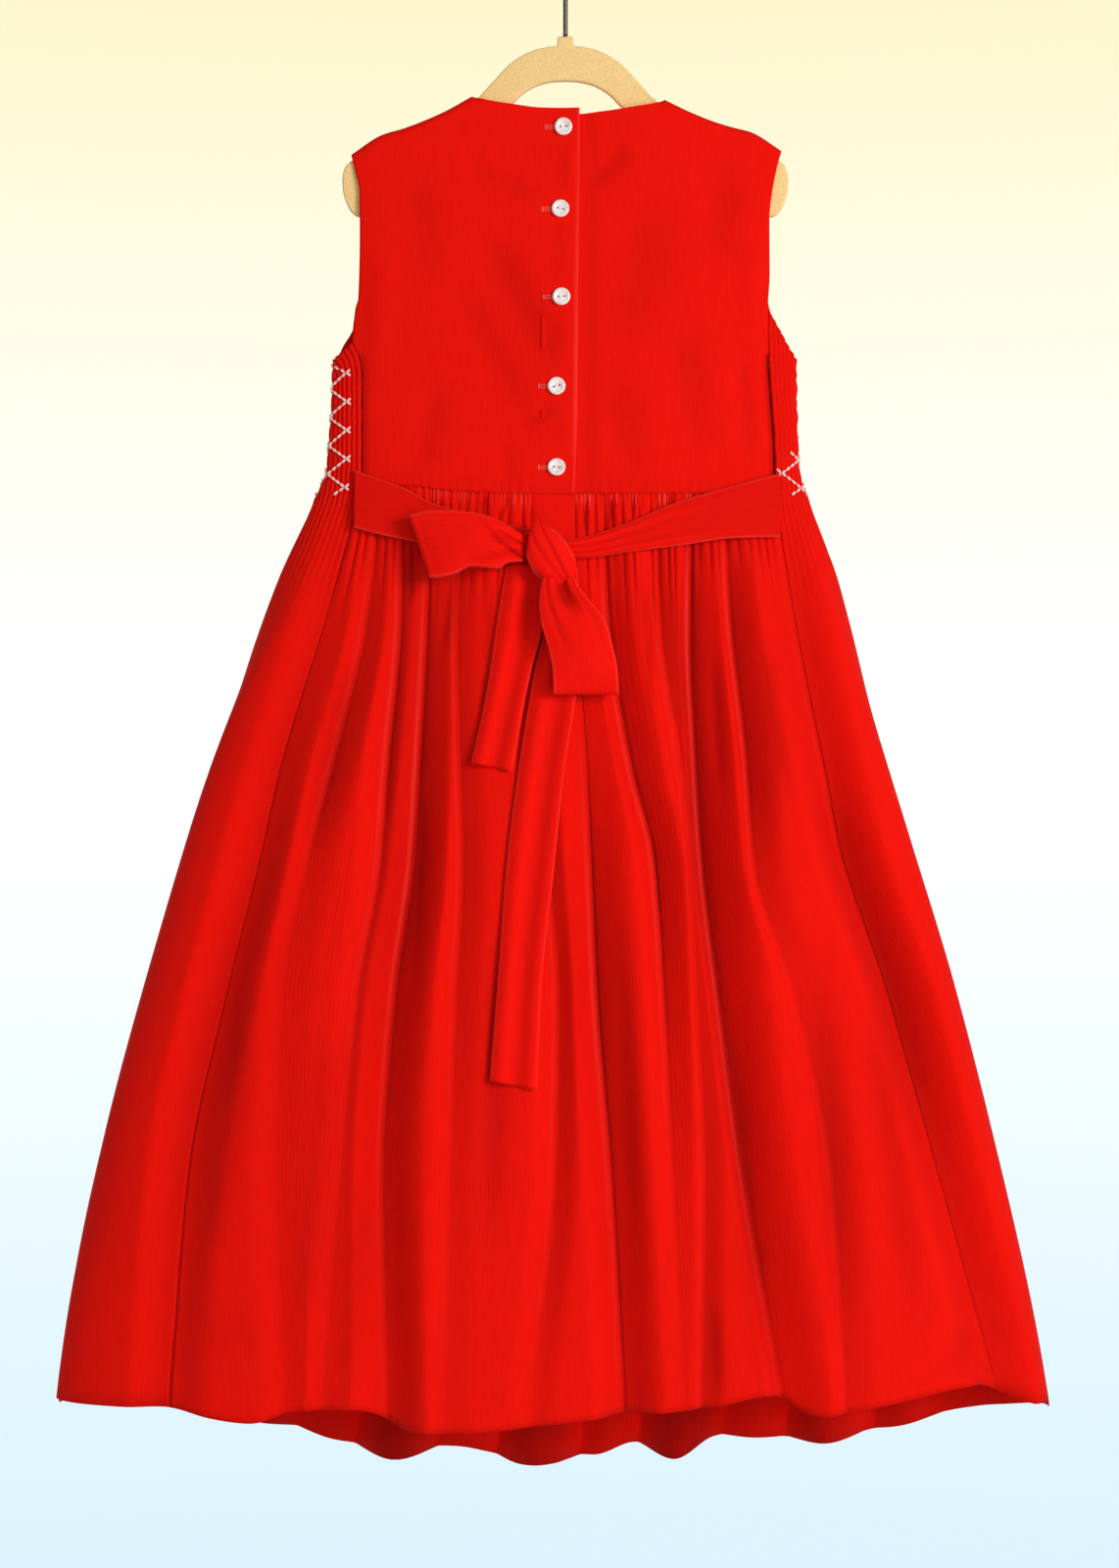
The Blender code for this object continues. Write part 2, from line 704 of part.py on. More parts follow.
def side_seam_x(side, z):
    """Where the front piece meets the back at the left or the right, on the bodice and the skirt."""
    bodice = BACK_SIDE_LEFT if side < 0 else BACK_SIDE_RIGHT
    trough = LEFT_TROUGHS[0] if side < 0 else RIGHT_TROUGHS[-1]
    low = smooth(TROUGH_Z, trough.across, z)
    return np.where(z > TROUGH_Z[0], read(bodice, "x", "z", z), low)


def front_turns(z, spread, opened):
    """The turn of each column of the front piece, and how far along its row the column lies."""
    first = back_turn(side_seam_x(-1, z[0]), z[0])
    last = back_turn(side_seam_x(1, z[-1]), z[-1]) - 2 * math.pi
    middle = z[len(z) // 2]
    turns = np.linspace(first, last, RING_POINTS)
    ring = np.stack(outline_point(turns, middle), axis=1)
    along = np.concatenate([[0], np.cumsum(np.linalg.norm(np.diff(ring, axis=0), axis=1))])
    share = spread + (opened - spread) * ramp(-middle, -FOLDS_OPEN_Z[0], -FOLDS_OPEN_Z[1])
    return np.interp(share * along[-1], along, turns), share * along[-1]


def front_heights(turn, z, smocked, row):
    """Heights of a row of the front piece: its strips behind the arms reach up the back's side seams."""
    x, y = outline_point(turn, z)
    behind = np.where(y < 0, np.abs(np.sin(turn)), 0)
    strip = np.where(x < 0, SMOCK_STRIP_TOP[0], SMOCK_STRIP_TOP[1])
    rise = ramp(behind / np.where(x < 0, behind[0], behind[-1]), STRIP_TURN, 1)
    top = YOKE_SEAM_Z - SEAM_GAP + (strip - YOKE_SEAM_Z) * rise
    hem = np.where(y < 0, read(BACK_HEM, "z", "x", x), read(FRONT_HEM, "z", "x", x))
    return top + (SMOCK_END_Z - top) * row if smocked else SMOCK_END_Z + (hem - SMOCK_END_Z) * row


def outline_normal(turn, z):
    """Unit vectors that point straight out of the plain outline."""
    step = 0.01
    ahead = np.stack(outline_point(turn - step, z), axis=1)
    tangent = ahead - np.stack(outline_point(turn + step, z), axis=1)
    tangent /= np.linalg.norm(tangent, axis=1, keepdims=True)
    return np.stack([-tangent[:, 1], tangent[:, 0], np.zeros(len(turn))], axis=1)


def smocking(z, shares):
    """How far the smocked pleats stand out: less along the crossing lines of stitches, more between."""
    line = np.abs((z - YOKE_SEAM_Z) / SMOCK_DIAMOND_HEIGHT % 1 - 0.5) * 2
    side = np.abs(shares - 0.5) * 2
    off_line = np.clip(np.abs(line - side) * SMOCK_PUFF_SLOPE, 0, 1)
    return SMOCK_PUFF * off_line - PLEAT_HEIGHT * np.cos(2 * np.pi * PLEATS_PER_CELL * shares)


def front_folds(z, measure, shares):
    """How far the skirt's cloth stands out below the smocking: its pleats fade and its folds deepen."""
    middle = -z[len(z) // 2]
    low = ramp(middle, *FOLDS_DEEPEN)
    begin = ramp(middle, -SMOCK_END_Z, FOLDS_DEEPEN[0])
    inner = FRONT_FOLDS[:-1]
    depths = [begin * (fold.depth_high + (fold.depth_low - fold.depth_high) * low) for fold in inner]
    depths.insert(0, float(smooth(TROUGH_Z, LEFT_TROUGHS[0].depth, z[0])))
    depths.append(float(smooth(TROUGH_Z, RIGHT_TROUGHS[-1].depth, z[-1])))
    reaches = [LEFT_TROUGHS[0].left_reach] + [fold.reach for fold in inner]
    reaches.append(RIGHT_TROUGHS[-1].right_reach)
    places = measure[shares % 1 == 0]
    drop = np.zeros(len(measure))
    for place, depth, reach in zip(places, depths, reaches):
        drop = np.maximum(drop, depth * trough_side(np.abs(measure - place), reach))
    pleat = GATHER_HEIGHT * (1 - ramp(-z, -SMOCK_END_Z, -PLEAT_END_Z))
    return -pleat * np.cos(2 * np.pi * PLEATS_PER_CELL * shares) - drop


def front_grid():
    """Points, plain normals and stand-out of the front piece, from the yoke seam to the hem."""
    cells, shares = cell_columns([PLEATS_PER_CELL] * len(FRONT_FOLDS))
    spread = (cells + shares) / len(FRONT_FOLDS)
    widths = np.array([fold.width for fold in FRONT_FOLDS], float)
    bounds = np.concatenate([[0], np.cumsum(widths)]) / widths.sum()
    opened = bounds[cells] * (1 - shares) + bounds[cells + 1] * shares
    levels = [(True, row / SMOCK_ROWS) for row in range(SMOCK_ROWS + 1)]
    levels += [(False, row) for row in SKIRT_ROWS]
    points = []
    normals = []
    waves = []
    for smocked, row in levels:
        z = np.full(len(cells), YOKE_SEAM_Z)
        for _ in range(SETTLE):
            turn, measure = front_turns(z, spread, opened)
            z = front_heights(turn, z, smocked, row)
        x, y = outline_point(turn, z)
        points.append(np.stack([x, y, z], axis=1))
        normals.append(outline_normal(turn, z))
        waves.append(smocking(z, shares) if smocked else front_folds(z, measure, shares))
    return np.array(points), np.array(normals), np.array(waves)


def make_front(finish):
    """The front: raised smocking over a plain inside, let out below into the folds of the skirt."""
    base, plain, waves = front_grid()
    base[:, 0, 0] -= SIDE_SEAM_EDGE
    base[:, -1, 0] += SIDE_SEAM_EDGE
    middle = base + plain * waves[:, :, None]
    top = slice(0, SMOCK_ROWS + 1)
    low = slice(SMOCK_ROWS + 1, None)
    normals = square_to(middle[low], plain[low])
    smock_rows = [round(row * SMOCK_ROWS / INSIDE_ROWS) for row in range(INSIDE_ROWS + 1)]
    plain_wall = base[top] - plain[top] * SMOCK_INSIDE
    cloth = ClothMesh()
    smocked_outside = middle[top] + plain[top] * CLOTH / 2
    outside = cloth.add(np.concatenate([smocked_outside, middle[low] + normals * CLOTH / 2]))
    plain_inside = cloth.add(plain_wall[smock_rows[:-1]][:, ::INSIDE_STEP])
    folded_inside = cloth.add(np.concatenate([plain_wall[-1:], middle[low] - normals * CLOTH / 2]))
    cloth.sheet(outside)
    cloth.sheet(plain_inside)
    cloth.sheet(folded_inside)
    cloth.strip(plain_inside[-1], folded_inside[0])
    cloth.strip(outside[0], plain_inside[0])
    cloth.strip(outside[-1], folded_inside[-1])
    for column in (0, -1):
        beside = np.append(plain_inside[:, column], folded_inside[0, column])
        cloth.strip(outside[top, column], beside)
        cloth.strip(outside[SMOCK_ROWS:, column], folded_inside[:, column])
    cloth.finish("smocked_front", finish)


def over_back(x, z, stand_off):
    """A point in front of the back's crests, stood off from the middle of the cloth along the depth."""
    gather = GATHER_HEIGHT * (1 - ramp(-z, -WAIST[0].z, -GATHER_END_Z))
    return (float(x), -float(outline_depth(x, z, BACK) + gather + stand_off), float(z))


def make_ties(finish):
    """The two ties, sewn into the side seams and drawn to the knot, each folded along its length."""
    for name, table in (("sash_tie_left", LEFT_TIE), ("sash_tie_right", RIGHT_TIE)):
        grid = []
        places = np.linspace(table[0].x, table[-1].x, TIE_ROWS)
        for column in range(TIE_COLUMNS + 1):
            share = column / TIE_COLUMNS
            line = []
            for x in places:
                high = read(table, "high", "x", x)
                low = read(table, "low", "x", x)
                near_knot = (x - table[0].x) / (table[-1].x - table[0].x)
                fold = TIE_FOLD * (1 - math.cos(2 * math.pi * TIE_FOLDS * share)) * near_knot
                stand_off = CLOTH / 2 + LAY_GAP + SASH_CLOTH / 2 + TIE_CLEAR * (1 - near_knot) + fold
                line.append(over_back(x, high + (low - high) * share, stand_off))
            grid.append(line)
        points = np.array(grid)
        if name == "sash_tie_left":
            points = points[:, ::-1]
        shell(name, points, SASH_CLOTH, finish)


def make_knot(finish):
    """The knot: a rounded lump of wrapped cloth."""
    x, z = KNOT_PLACE
    shape = bmesh.new()
    bmesh.ops.create_uvsphere(shape, u_segments=KNOT_SEGMENTS, v_segments=KNOT_RINGS, radius=0.5)
    back_of_knot = over_back(x, z, CLOTH / 2 + SASH_CLOTH + 2 * TAIL_FOLD + 2.5 * LAY_GAP)[1]
    for corner in shape.verts:
        wide, deep, high = (math.copysign(abs(2 * value) ** KNOT_SQUARE, value) / 2 for value in corner.co)
        tuck = 1 + KNOT_TUCK * math.cos(KNOT_TUCKS * math.atan2(wide, deep))
        corner.co = (
            (x + wide * KNOT_SIZE[0] * tuck + high * KNOT_SIZE[2] * KNOT_LEAN) * MM,
            (back_of_knot + (deep - 0.5) * KNOT_SIZE[1]) * MM,
            (z + high * KNOT_SIZE[2]) * MM,
        )
    mesh = bpy.data.meshes.new("bow_knot")
    shape.to_mesh(mesh)
    shape.free()
    link(bpy.data.objects.new("bow_knot", mesh), finish)


def loop_path():
    """Shares along a loop, stands in depth and reaches past its end: out in front, round, and back."""
    path = []
    for step in range(LOOP_LAYER_STEPS + 1):
        share = step / LOOP_LAYER_STEPS
        path.append((share, LOOP_TURN + LOOP_SWELL * math.sin(math.pi * share) ** LOOP_FULLNESS, 0.0))
    for step in range(1, LOOP_TURN_STEPS):
        angle = math.pi * step / LOOP_TURN_STEPS
        path.append((1.0, LOOP_TURN * math.cos(angle), LOOP_TURN * math.sin(angle)))
    for step in range(LOOP_LAYER_STEPS, -1, -1):
        path.append((step / LOOP_LAYER_STEPS, -LOOP_TURN, 0.0))
    return path


def make_left_loop(finish):
    """The left loop of the bow, held out sideways, a flat tube open at its top and bottom."""
    grid = []
    root = LEFT_LOOP[0].x
    for share_down in np.linspace(0, 1, LOOP_COLUMNS + 1):
        line = []
        for share, stand, beyond in loop_path():
            end = LEFT_LOOP[-1].x + LOOP_TURN + LEFT_LOOP_LEAN * share_down
            x = root + (end - root) * share
            high = read(LEFT_LOOP, "high", "x", x)
            low = read(LEFT_LOOP, "low", "x", x)
            z = high + (low - high) * share_down
            depth = over_back(root, z, CLOTH / 2 + SASH_CLOTH + 2 * TIE_FOLD + LOOP_STAND)[1] - stand
            line.append((float(x - beyond), float(depth), float(z)))
        grid.append(line)
    shell("bow_loop_left", np.array(grid), LOOP_CLOTH, finish)


def make_right_loop(finish):
    """The right loop of the bow, which hangs down from the knot."""
    grid = []
    root = RIGHT_LOOP[0].z
    end = RIGHT_LOOP[-1].z + LOOP_TURN
    for share_across in np.linspace(0, 1, LOOP_COLUMNS + 1):
        line = []
        for share, stand, beyond in loop_path():
            z = root + (end - root) * share
            left = read(RIGHT_LOOP, "left", "z", z - beyond)
            right = read(RIGHT_LOOP, "right", "z", z - beyond)
            x = left + (right - left) * share_across
            layers = CLOTH / 2 + SASH_CLOTH + 2 * TAIL_FOLD
            depth = over_back(RIGHT_LOOP_MIDDLE_X, z, layers + LOOP_STAND)[1] - stand
            line.append((float(x), float(depth), float(z - beyond)))
        grid.append(line)
    shell("bow_loop_right", np.array(grid)[:, ::-1], LOOP_CLOTH, finish)


def make_tails(finish):
    """The two ends of the sash, which hang from behind the knot with a fold along each."""
    for name, table, rows in (
        ("bow_tail_short", SHORT_TAIL, SHORT_TAIL_ROWS),
        ("bow_tail_long", LONG_TAIL, LONG_TAIL_ROWS),
    ):
        grid = []
        for level in np.linspace(0, 1, rows + 1):
            line = []
            for share in np.linspace(0, 1, TAIL_COLUMNS + 1):
                z = table[0].z + (table[-1].z - table[0].z) * level
                left = read(table, "left", "z", z)
                right = read(table, "right", "z", z)
                turn = TAIL_FOLDS * share + TAIL_FOLD_DRIFT * level
                fold = TAIL_FOLD * (1 - math.cos(2 * math.pi * turn))
                slope = -(share - 0.5) * (right - left) * TAIL_END_SLOPE * level
                stand_off = CLOTH / 2 + LAY_GAP + SASH_CLOTH / 2 + fold
                line.append(over_back(left + (right - left) * share, z + slope, stand_off))
            grid.append(line)
        shell(name, np.array(grid), SASH_CLOTH, finish)


def make_buttons(finish):
    """Five pearly buttons on the lap, each a turned disc with a rim and a dished face."""
    for number, place in enumerate(BUTTONS, start=1):
        name = f"button_{number}"
        shape = bmesh.new()
        corners = [shape.verts.new((radius * MM, 0, height * MM)) for radius, height in BUTTON_PROFILE]
        for one, other in zip(corners, corners[1:]):
            shape.edges.new((one, other))
        mesh = bpy.data.meshes.new(name)
        shape.to_mesh(mesh)
        shape.free()
        button = link(bpy.data.objects.new(name, mesh), finish)
        turned = button.modifiers.new("Turned", "SCREW")
        turned.steps = BUTTON_SEGMENTS
        turned.render_steps = BUTTON_SEGMENTS
        turned.use_merge_vertices = True
        turned.merge_threshold = MERGE
        turned.use_normal_calculate = True
        above = float(outline_depth(place.x, place.z + BUTTON_RADIUS, BACK))
        below = float(outline_depth(place.x, place.z - BUTTON_RADIUS, BACK))
        stand = max(float(outline_depth(place.x, place.z, BACK)), (above + below) / 2)
        tilt = math.atan((above - below) / (2 * BUTTON_RADIUS))
        button.location = (place.x * MM, -(stand + CLOTH / 2 + LAY_GAP) * MM, place.z * MM)
        button.rotation_euler = (math.pi / 2 + tilt, 0, 0)


def make_hanger(finish):
    """The hanger: a flat, rounded outline with deep, round ends and a boss for the hook."""
    right = [BOSS_TOP, BOSS_FOOT] + [(mark.x, mark.z) for mark in HANGER_TOP + HANGER_BOTTOM]
    outline = right + [(-x, z) for x, z in reversed(right[:-1])]
    curve = bpy.data.curves.new("hanger", "CURVE")
    curve.dimensions = "2D"
    curve.fill_mode = "BOTH"
    curve.extrude = (HANGER_THICKNESS / 2 - HANGER_ROUND) * MM
    curve.bevel_depth = HANGER_ROUND * MM
    curve.bevel_resolution = 1
    curve.offset = -HANGER_ROUND * MM
    spline = curve.splines.new("POLY")
    spline.points.add(len(outline) - 1)
    for point, (x, z) in zip(spline.points, outline):
        point.co = (x * MM, z * MM, 0, 1)
    spline.use_cyclic_u = True
    hanger = link(bpy.data.objects.new("hanger", curve), finish)
    hanger.rotation_euler = (math.pi / 2, 0, 0)


def make_hook(finish):
    """The wire hook, whose inside top is the origin."""
    radius = HOOK_INSIDE + HOOK_WIRE
    centre = -HOOK_INSIDE
    foot = BOSS_TOP[1] + SEAM_GAP
    points = [(0, foot), (0, (foot + centre - radius) / 2)]
    for step in range(HOOK_POINTS + 1):
        angle = -math.pi / 2 + (math.pi / 2 + HOOK_OPEN_ANGLE) * step / HOOK_POINTS
        points.append((radius * math.cos(angle), centre + radius * math.sin(angle)))
    curve = bpy.data.curves.new("hanger_hook", "CURVE")
    curve.dimensions = "3D"
    curve.bevel_depth = HOOK_WIRE * MM
    curve.bevel_resolution = 2
    curve.use_fill_caps = True
    spline = curve.splines.new("POLY")
    spline.points.add(len(points) - 1)
    for point, (x, z) in zip(spline.points, points):
        point.co = (x * MM, 0, z * MM, 1)
    link(bpy.data.objects.new("hanger_hook", curve), finish)


def main():
    for thing in list(bpy.data.objects):
        bpy.data.objects.remove(thing)
    bpy.context.scene.collection.children.link(bpy.data.collections.new(NAME))
    corduroy = material("red corduroy", RED, 0.85)
    sash = material("red sash corduroy", RED_SASH, 0.8)
    make_back_bodice(corduroy)
    make_front_yoke(corduroy)
    make_front(corduroy)
    make_back_skirt(corduroy)
    make_ties(sash)
    make_knot(sash)
    make_left_loop(sash)
    make_right_loop(sash)
    make_tails(sash)
    make_buttons(material("pearly resin", PEARL, 0.25))
    make_hanger(material("beige flock", BEIGE, 0.95))
    make_hook(material("dark steel wire", STEEL, 0.35, 1.0))


main()
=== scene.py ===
"""A girl's sleeveless corduroy dress with a smocked front, on a flocked hanger, dressed over its solids.

The dress hangs with its buttoned back towards -Y and its smocked front towards +Y, and the origin is the
inside top of the hanger's hook. Shapes are worked out in millimetres and made in metres. The cloth follows
the same sections, seams and folds as the solids, with finer gathers, creases, wales and stitches.
"""

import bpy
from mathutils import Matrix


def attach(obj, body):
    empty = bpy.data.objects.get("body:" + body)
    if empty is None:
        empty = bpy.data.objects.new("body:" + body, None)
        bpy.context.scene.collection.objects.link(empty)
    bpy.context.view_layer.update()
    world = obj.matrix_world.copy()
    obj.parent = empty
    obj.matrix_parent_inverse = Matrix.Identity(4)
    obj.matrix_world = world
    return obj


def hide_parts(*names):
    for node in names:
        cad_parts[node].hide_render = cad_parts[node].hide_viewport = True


bl_info = {
    "name": "Smocked Dress",
    "version": (1, 0, 0),
    "blender": (4, 5, 0),
    "location": "3D View > Sidebar > Dress",
    "description": "Builds a smocked corduroy dress on a flocked hanger, piece by piece",
    "category": "Add Mesh",
}

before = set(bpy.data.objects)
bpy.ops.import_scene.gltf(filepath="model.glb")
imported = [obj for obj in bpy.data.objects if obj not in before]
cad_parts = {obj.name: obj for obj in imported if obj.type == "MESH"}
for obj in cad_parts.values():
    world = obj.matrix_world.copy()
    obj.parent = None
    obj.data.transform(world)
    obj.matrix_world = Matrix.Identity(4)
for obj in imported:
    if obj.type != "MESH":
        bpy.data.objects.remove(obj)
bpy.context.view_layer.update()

import math
from collections import namedtuple

import bmesh
import bpy
import numpy as np
from bpy.props import FloatProperty, PointerProperty
from bpy.types import Operator, Panel, PropertyGroup
from mathutils import Matrix, Vector


def rows(kind, *values):
    """A table whose rows are all of one kind, with named columns."""
    return tuple(kind(*row) for row in values)


BODY = "root"
MM = 0.001
MERGE_WITHIN = 1e-6  # metres
BACK = -1
FRONT = 1

# Camera: 1.9 m from the hanger's plane, level with the middle of the dress
CAMERA_AT = (-0.00384, -1.9, -0.55168)
CAMERA_SENSOR = 36
CAMERA_LENS = 66.8

# How pieces meet
SEAM_GAP = 0.3  # between the yoke and the smocking, and between the boss and the hook
SEAM_EDGE = 0.14  # an edge keeps this far off the line of its upright seam
LAY_GAP = 0.4  # between a piece and the cloth that it lies on
SOLID_CLOTH = 1.3  # wall of the solids, which sets how far pieces stand off each other
SOLID_SASH = 2.0
SETTLE = 3  # rounds in which the heights of a row and its places across come to agree

# The plain outline of the dress, from the shoulders to the hem. Above the underarm, left and right are
# where the sides would meet, which keeps the cloth clear of the hanger at the armholes.
Section = namedtuple("Section", "z left right back front")
SECTIONS = rows(
    Section, (-100, -151, 150, 9.5, 9.5), (-145, -151, 150, 10, 10), (-200, -151, 150, 14, 15),
    (-275, -150.6, 149.7, 18, 21), (-344, -154.2, 151, 22, 25), (-370, -164.5, 159.4, 27, 29),
    (-420, -188.8, 179.8, 35, 36), (-510, -222.1, 204.2, 45, 45), (-638, -261.8, 241.9, 55, 55),
    (-779, -300.2, 278.4, 63, 62), (-907, -327, 307.2, 68, 66), (-1010, -341, 324, 71, 69),
)
OUTLINE_SQUARE = 2.6  # how square the outline is across, where 2 is an ellipse
OUTLINE_ROUND = 2.2  # and how square it is in depth

# Seam lines, as height over place across
Mark = namedtuple("Mark", "x z")
WAIST = rows(
    Mark, (-133, -359.5), (-102, -359), (-79, -362), (-52, -363.7), (-21, -364.6), (83, -364),
    (136, -359.8),
)
BACK_HEM = rows(
    Mark, (-321, -950), (-263, -949), (-200, -956), (-170, -948), (-135, -946.5), (-97, -961),
    (-69, -960.5), (25, -951), (90, -945), (128, -938), (159, -952), (205, -945), (262, -936),
    (304, -952),
)
FRONT_HEM = rows(
    Mark, (-336, -955), (-265, -966), (-199, -979), (-150, -994), (-115, -1003), (-72, -998),
    (-30, -1008), (19, -1004), (44, -996), (72, -1003), (100, -991), (170, -992), (215, -983),
    (262, -969), (320, -957),
)

# Back bodice. Each half runs from the side seam and armhole to the centre back; the left half laps over.
Edge = namedtuple("Edge", "z x")
BACK_SIDE_LEFT = rows(
    Edge, (-363, -133), (-345, -132.5), (-285, -132.7), (-274, -134.5), (-264, -138.5), (-243, -136.5),
    (-236, -134.6), (-198, -133.7), (-166, -134), (-154, -136.5), (-141.4, -139.5),
)
BACK_SIDE_RIGHT = rows(
    Edge, (-363, 135.6), (-347, 136.2), (-265, 131.8), (-243, 131.5), (-220, 132.7), (-184, 132.7),
    (-168, 134.3), (-150, 137.8), (-138.9, 140.8),
)
LAP_EDGE = (Edge(-363, 5.7), Edge(-320, 7.3), Edge(-113, 9.2))  # free edge of the left half
UNDERLAP_EDGE_X = -16
UNDERLAP_DROP = SOLID_CLOTH + LAY_GAP
UNDERLAP_BLEND = (10, 24)  # the right half comes up to the surface between these places
BACK_TOP_LEFT = rows(
    Mark, (-139.5, -141.4), (-119.4, -128.6), (-104.6, -124.2), (-79.4, -113.9), (-60.8, -103.7),
    (-57.2, -105.6), (-35.7, -109.6), (-14.7, -112.2), (-2, -112.4), (9.2, -112.2),
)
BACK_TOP_RIGHT = rows(
    Mark, (-16, -116.6), (-4, -116.4), (9.5, -116), (24, -114.6), (43.9, -111.5), (61, -108.2),
    (64.6, -105.9), (81.3, -113.9), (98, -120.5), (110.7, -124.2), (120.6, -126.7), (140.8, -138.9),
)
LEFT_NECK_ROW = 4  # where the neck points stand in these tables
RIGHT_NECK_ROW = 6
NECK_LEFT = BACK_TOP_LEFT[LEFT_NECK_ROW]
NECK_RIGHT = BACK_TOP_RIGHT[RIGHT_NECK_ROW]
SHOULDER_ROLL = 5  # height over which the shoulder bends across the hanger
SHOULDER_EDGE = 0.4  # the shoulder seam's two edges stand this far from the hanger's plane
WAIST_CLEAR = 0.06  # the bodice and the skirt both keep this far off the waist seam's line

# Front yoke
YOKE_SEAM_Z = -275.2
YOKE_SIDE_LEFT = rows(
    Edge, (-275.2, -149.2), (-266, -146), (-255, -140), (-235, -133), (-200, -131.5), (-170, -132.5),
    (-155, -135.5), (-141.4, -139.5),
)
YOKE_SIDE_RIGHT = rows(
    Edge, (-275.2, 148.4), (-266, 145.5), (-255, 140), (-235, 133), (-200, 131), (-170, 132.5),
    (-155, 136), (-138.9, 140.8),
)
NECKLINE_DROP = 64  # the front neckline lies this far below the neck points

# Back skirt. Troughs run from the waist to the hem: where each lies and how deep it is at TROUGH_Z.
# left_reach and right_reach are how far across its sides take to rise to the crests, in mm.
TROUGH_Z = (-363, -451, -539, -601, -688, -799, -937)
Trough = namedtuple("Trough", "name across depth left_reach right_reach")
LEFT_TROUGHS = (
    Trough("side", (-133, -158, -186, -201, -223, -245, -254), (1, 6, 10, 14, 16, 12, 8), 26, 30),
    Trough("hip", (-119, -129, -150, -165, -180, -183, -177), (1, 7, 9, 5, 3, 3, 4), 18, 22),
    Trough("panel", (-104, -106, -114, -118, -132, -142, -153), (1, 6, 10, 8, 5, 5, 4), 18, 20),
    Trough("long", (-86, -89, -94, -98, -110, -117, -113), (1, 8, 15, 19, 20, 18, 16), 24, 28),
    Trough("faint", (-63, -69, -67, -65, -69, -72, -75), (1, 4, 4, 5, 5, 3, 2), 16, 18),
    Trough("placket", (-22, -20, -17, -11, -4, -6, -20), (0, 3, 4, 5, 8, 7, 3), 18, 16),
    Trough("centre", (6, 8, 14, 17, 21, 30, 38), (0, 2, 6, 12, 15, 15, 15), 22, 26),
)
RIGHT_TROUGHS = (
    LEFT_TROUGHS[-1],
    Trough("beside", (25, 29, 43, 58, 64, 69, 76), (1, 8, 11, 12, 10, 5, 2), 15, 22),
    Trough("middle", (59, 62, 75, 80, 84, 89, 87), (1, 6, 3, 2, 3, 4, 5), 15, 14),
    Trough("crisp", (82, 82, 86, 90, 100, 115, 139), (1, 13, 20, 22, 20, 17, 15), 12, 34),
    Trough("short", (103, 109, 119, 122, 148, 171, 179), (1, 11, 14, 8, 2, 4, 4), 14, 20),
    Trough("side", (135.6, 153, 172, 187, 218, 247, 283), (1, 12, 16, 24, 26, 20, 14), 30, 26),
)
# How crisp each trough's fold is at TROUGH_Z: a line at its bottom, pressed in and painted in shade, and a
# crest just left of it, raised and painted as a highlight
TROUGH_CRISP = {
    "hip": (0.2, 0.5, 0.5, 0.3, 0.1, 0.1, 0.1),
    "panel": (0.2, 0.7, 0.8, 0.6, 0.4, 0.2, 0.1),
    "long": (0.2, 0.7, 0.9, 0.9, 0.7, 0.5, 0.3),
    "faint": (0.2, 0.5, 0.5, 0.5, 0.4, 0.2, 0.1),
    "placket": (0, 0.3, 0.3, 0.4, 0.5, 0.4, 0.1),
    "centre": (0, 0.1, 0.4, 0.7, 0.8, 0.6, 0.4),
    "beside": (0.2, 0.7, 0.8, 0.8, 0.6, 0.3, 0.1),
    "middle": (0.1, 0.5, 0.4, 0.3, 0.3, 0.4, 0.4),
    "crisp": (0.2, 1, 1, 1, 0.9, 0.7, 0.4),
    "short": (0.1, 0.8, 0.8, 0.5, 0.2, 0.3, 0.3),
    "side": (0, 0.3, 0.4, 0.3, 0.15, 0.1, 0.05),
}
RIDGE_ROUND = 4  # how sharp the ridge between two troughs is
FOLD_LINE = (1.8, 6.5)  # a fold's line, pressed in and painted in shade, fades over this far to its left and its right
FOLD_CREST = (4, 1.5)  # its crest lies this far left of it and is this wide
FOLD_CREST_HIGH = 0.5
FOLD_BITE = 3  # the fold is pressed in this much deeper along its line
LEFT_GATHERS = (3, 3, 3, 4, 6, 0)  # between one trough and the next; none beside the placket
RIGHT_GATHERS = (3, 6, 4, 4, 6)
GATHER_HEIGHT = 1.5  # a gather's crest above the middle of the cloth
GATHER_END_Z = -455

# Smocked front: one piece from the yoke seam to the hem, which wraps round to the back at both sides.
# Each cell is eight pleats and one diamond of the stitching; below the smocking it opens into a fold.
SMOCK_END_Z = -365.5
SMOCK_STRIP_TOP = (-264.5, -243.5)  # the left and the right strip reach up to here at the back
SMOCK_DIAMOND_HEIGHT = 18.7
PLEAT_HEIGHT = 0.75
SPREAD_PLEAT_HEIGHT = 0.55  # below the smocking
SMOCK_PUFF = 1.0  # cloth swells between the lines of stitches
SMOCK_PUFF_SLOPE = 1.6
Fold = namedtuple("Fold", "width depth_high depth_low reach")  # width at the hem, and its right trough
FRONT_FOLDS = rows(
    Fold, (110, 3, 4, 22), (75, 6, 12, 26), (69, 9, 20, 28), (49, 5, 9, 20), (47, 9, 24, 28),
    (48, 4, 8, 20), (48, 9, 22, 28), (48, 6, 10, 20), (48, 10, 24, 28), (49, 5, 8, 20), (50, 9, 20, 26),
    (57, 6, 12, 24), (75, 3, 4, 22), (85, 0, 0, 22),
)
FOLDS_OPEN_Z = (-365, -620)  # the pleats spread into folds between these heights
FOLDS_DEEPEN = (450, 900)  # and the folds go from their high depth to their low one, this far down
FOLDS_SQUARE = 0.45  # how much squarer the folds are at the hem than at the smocking
PLEAT_END_Z = -455
RING_POINTS = 400

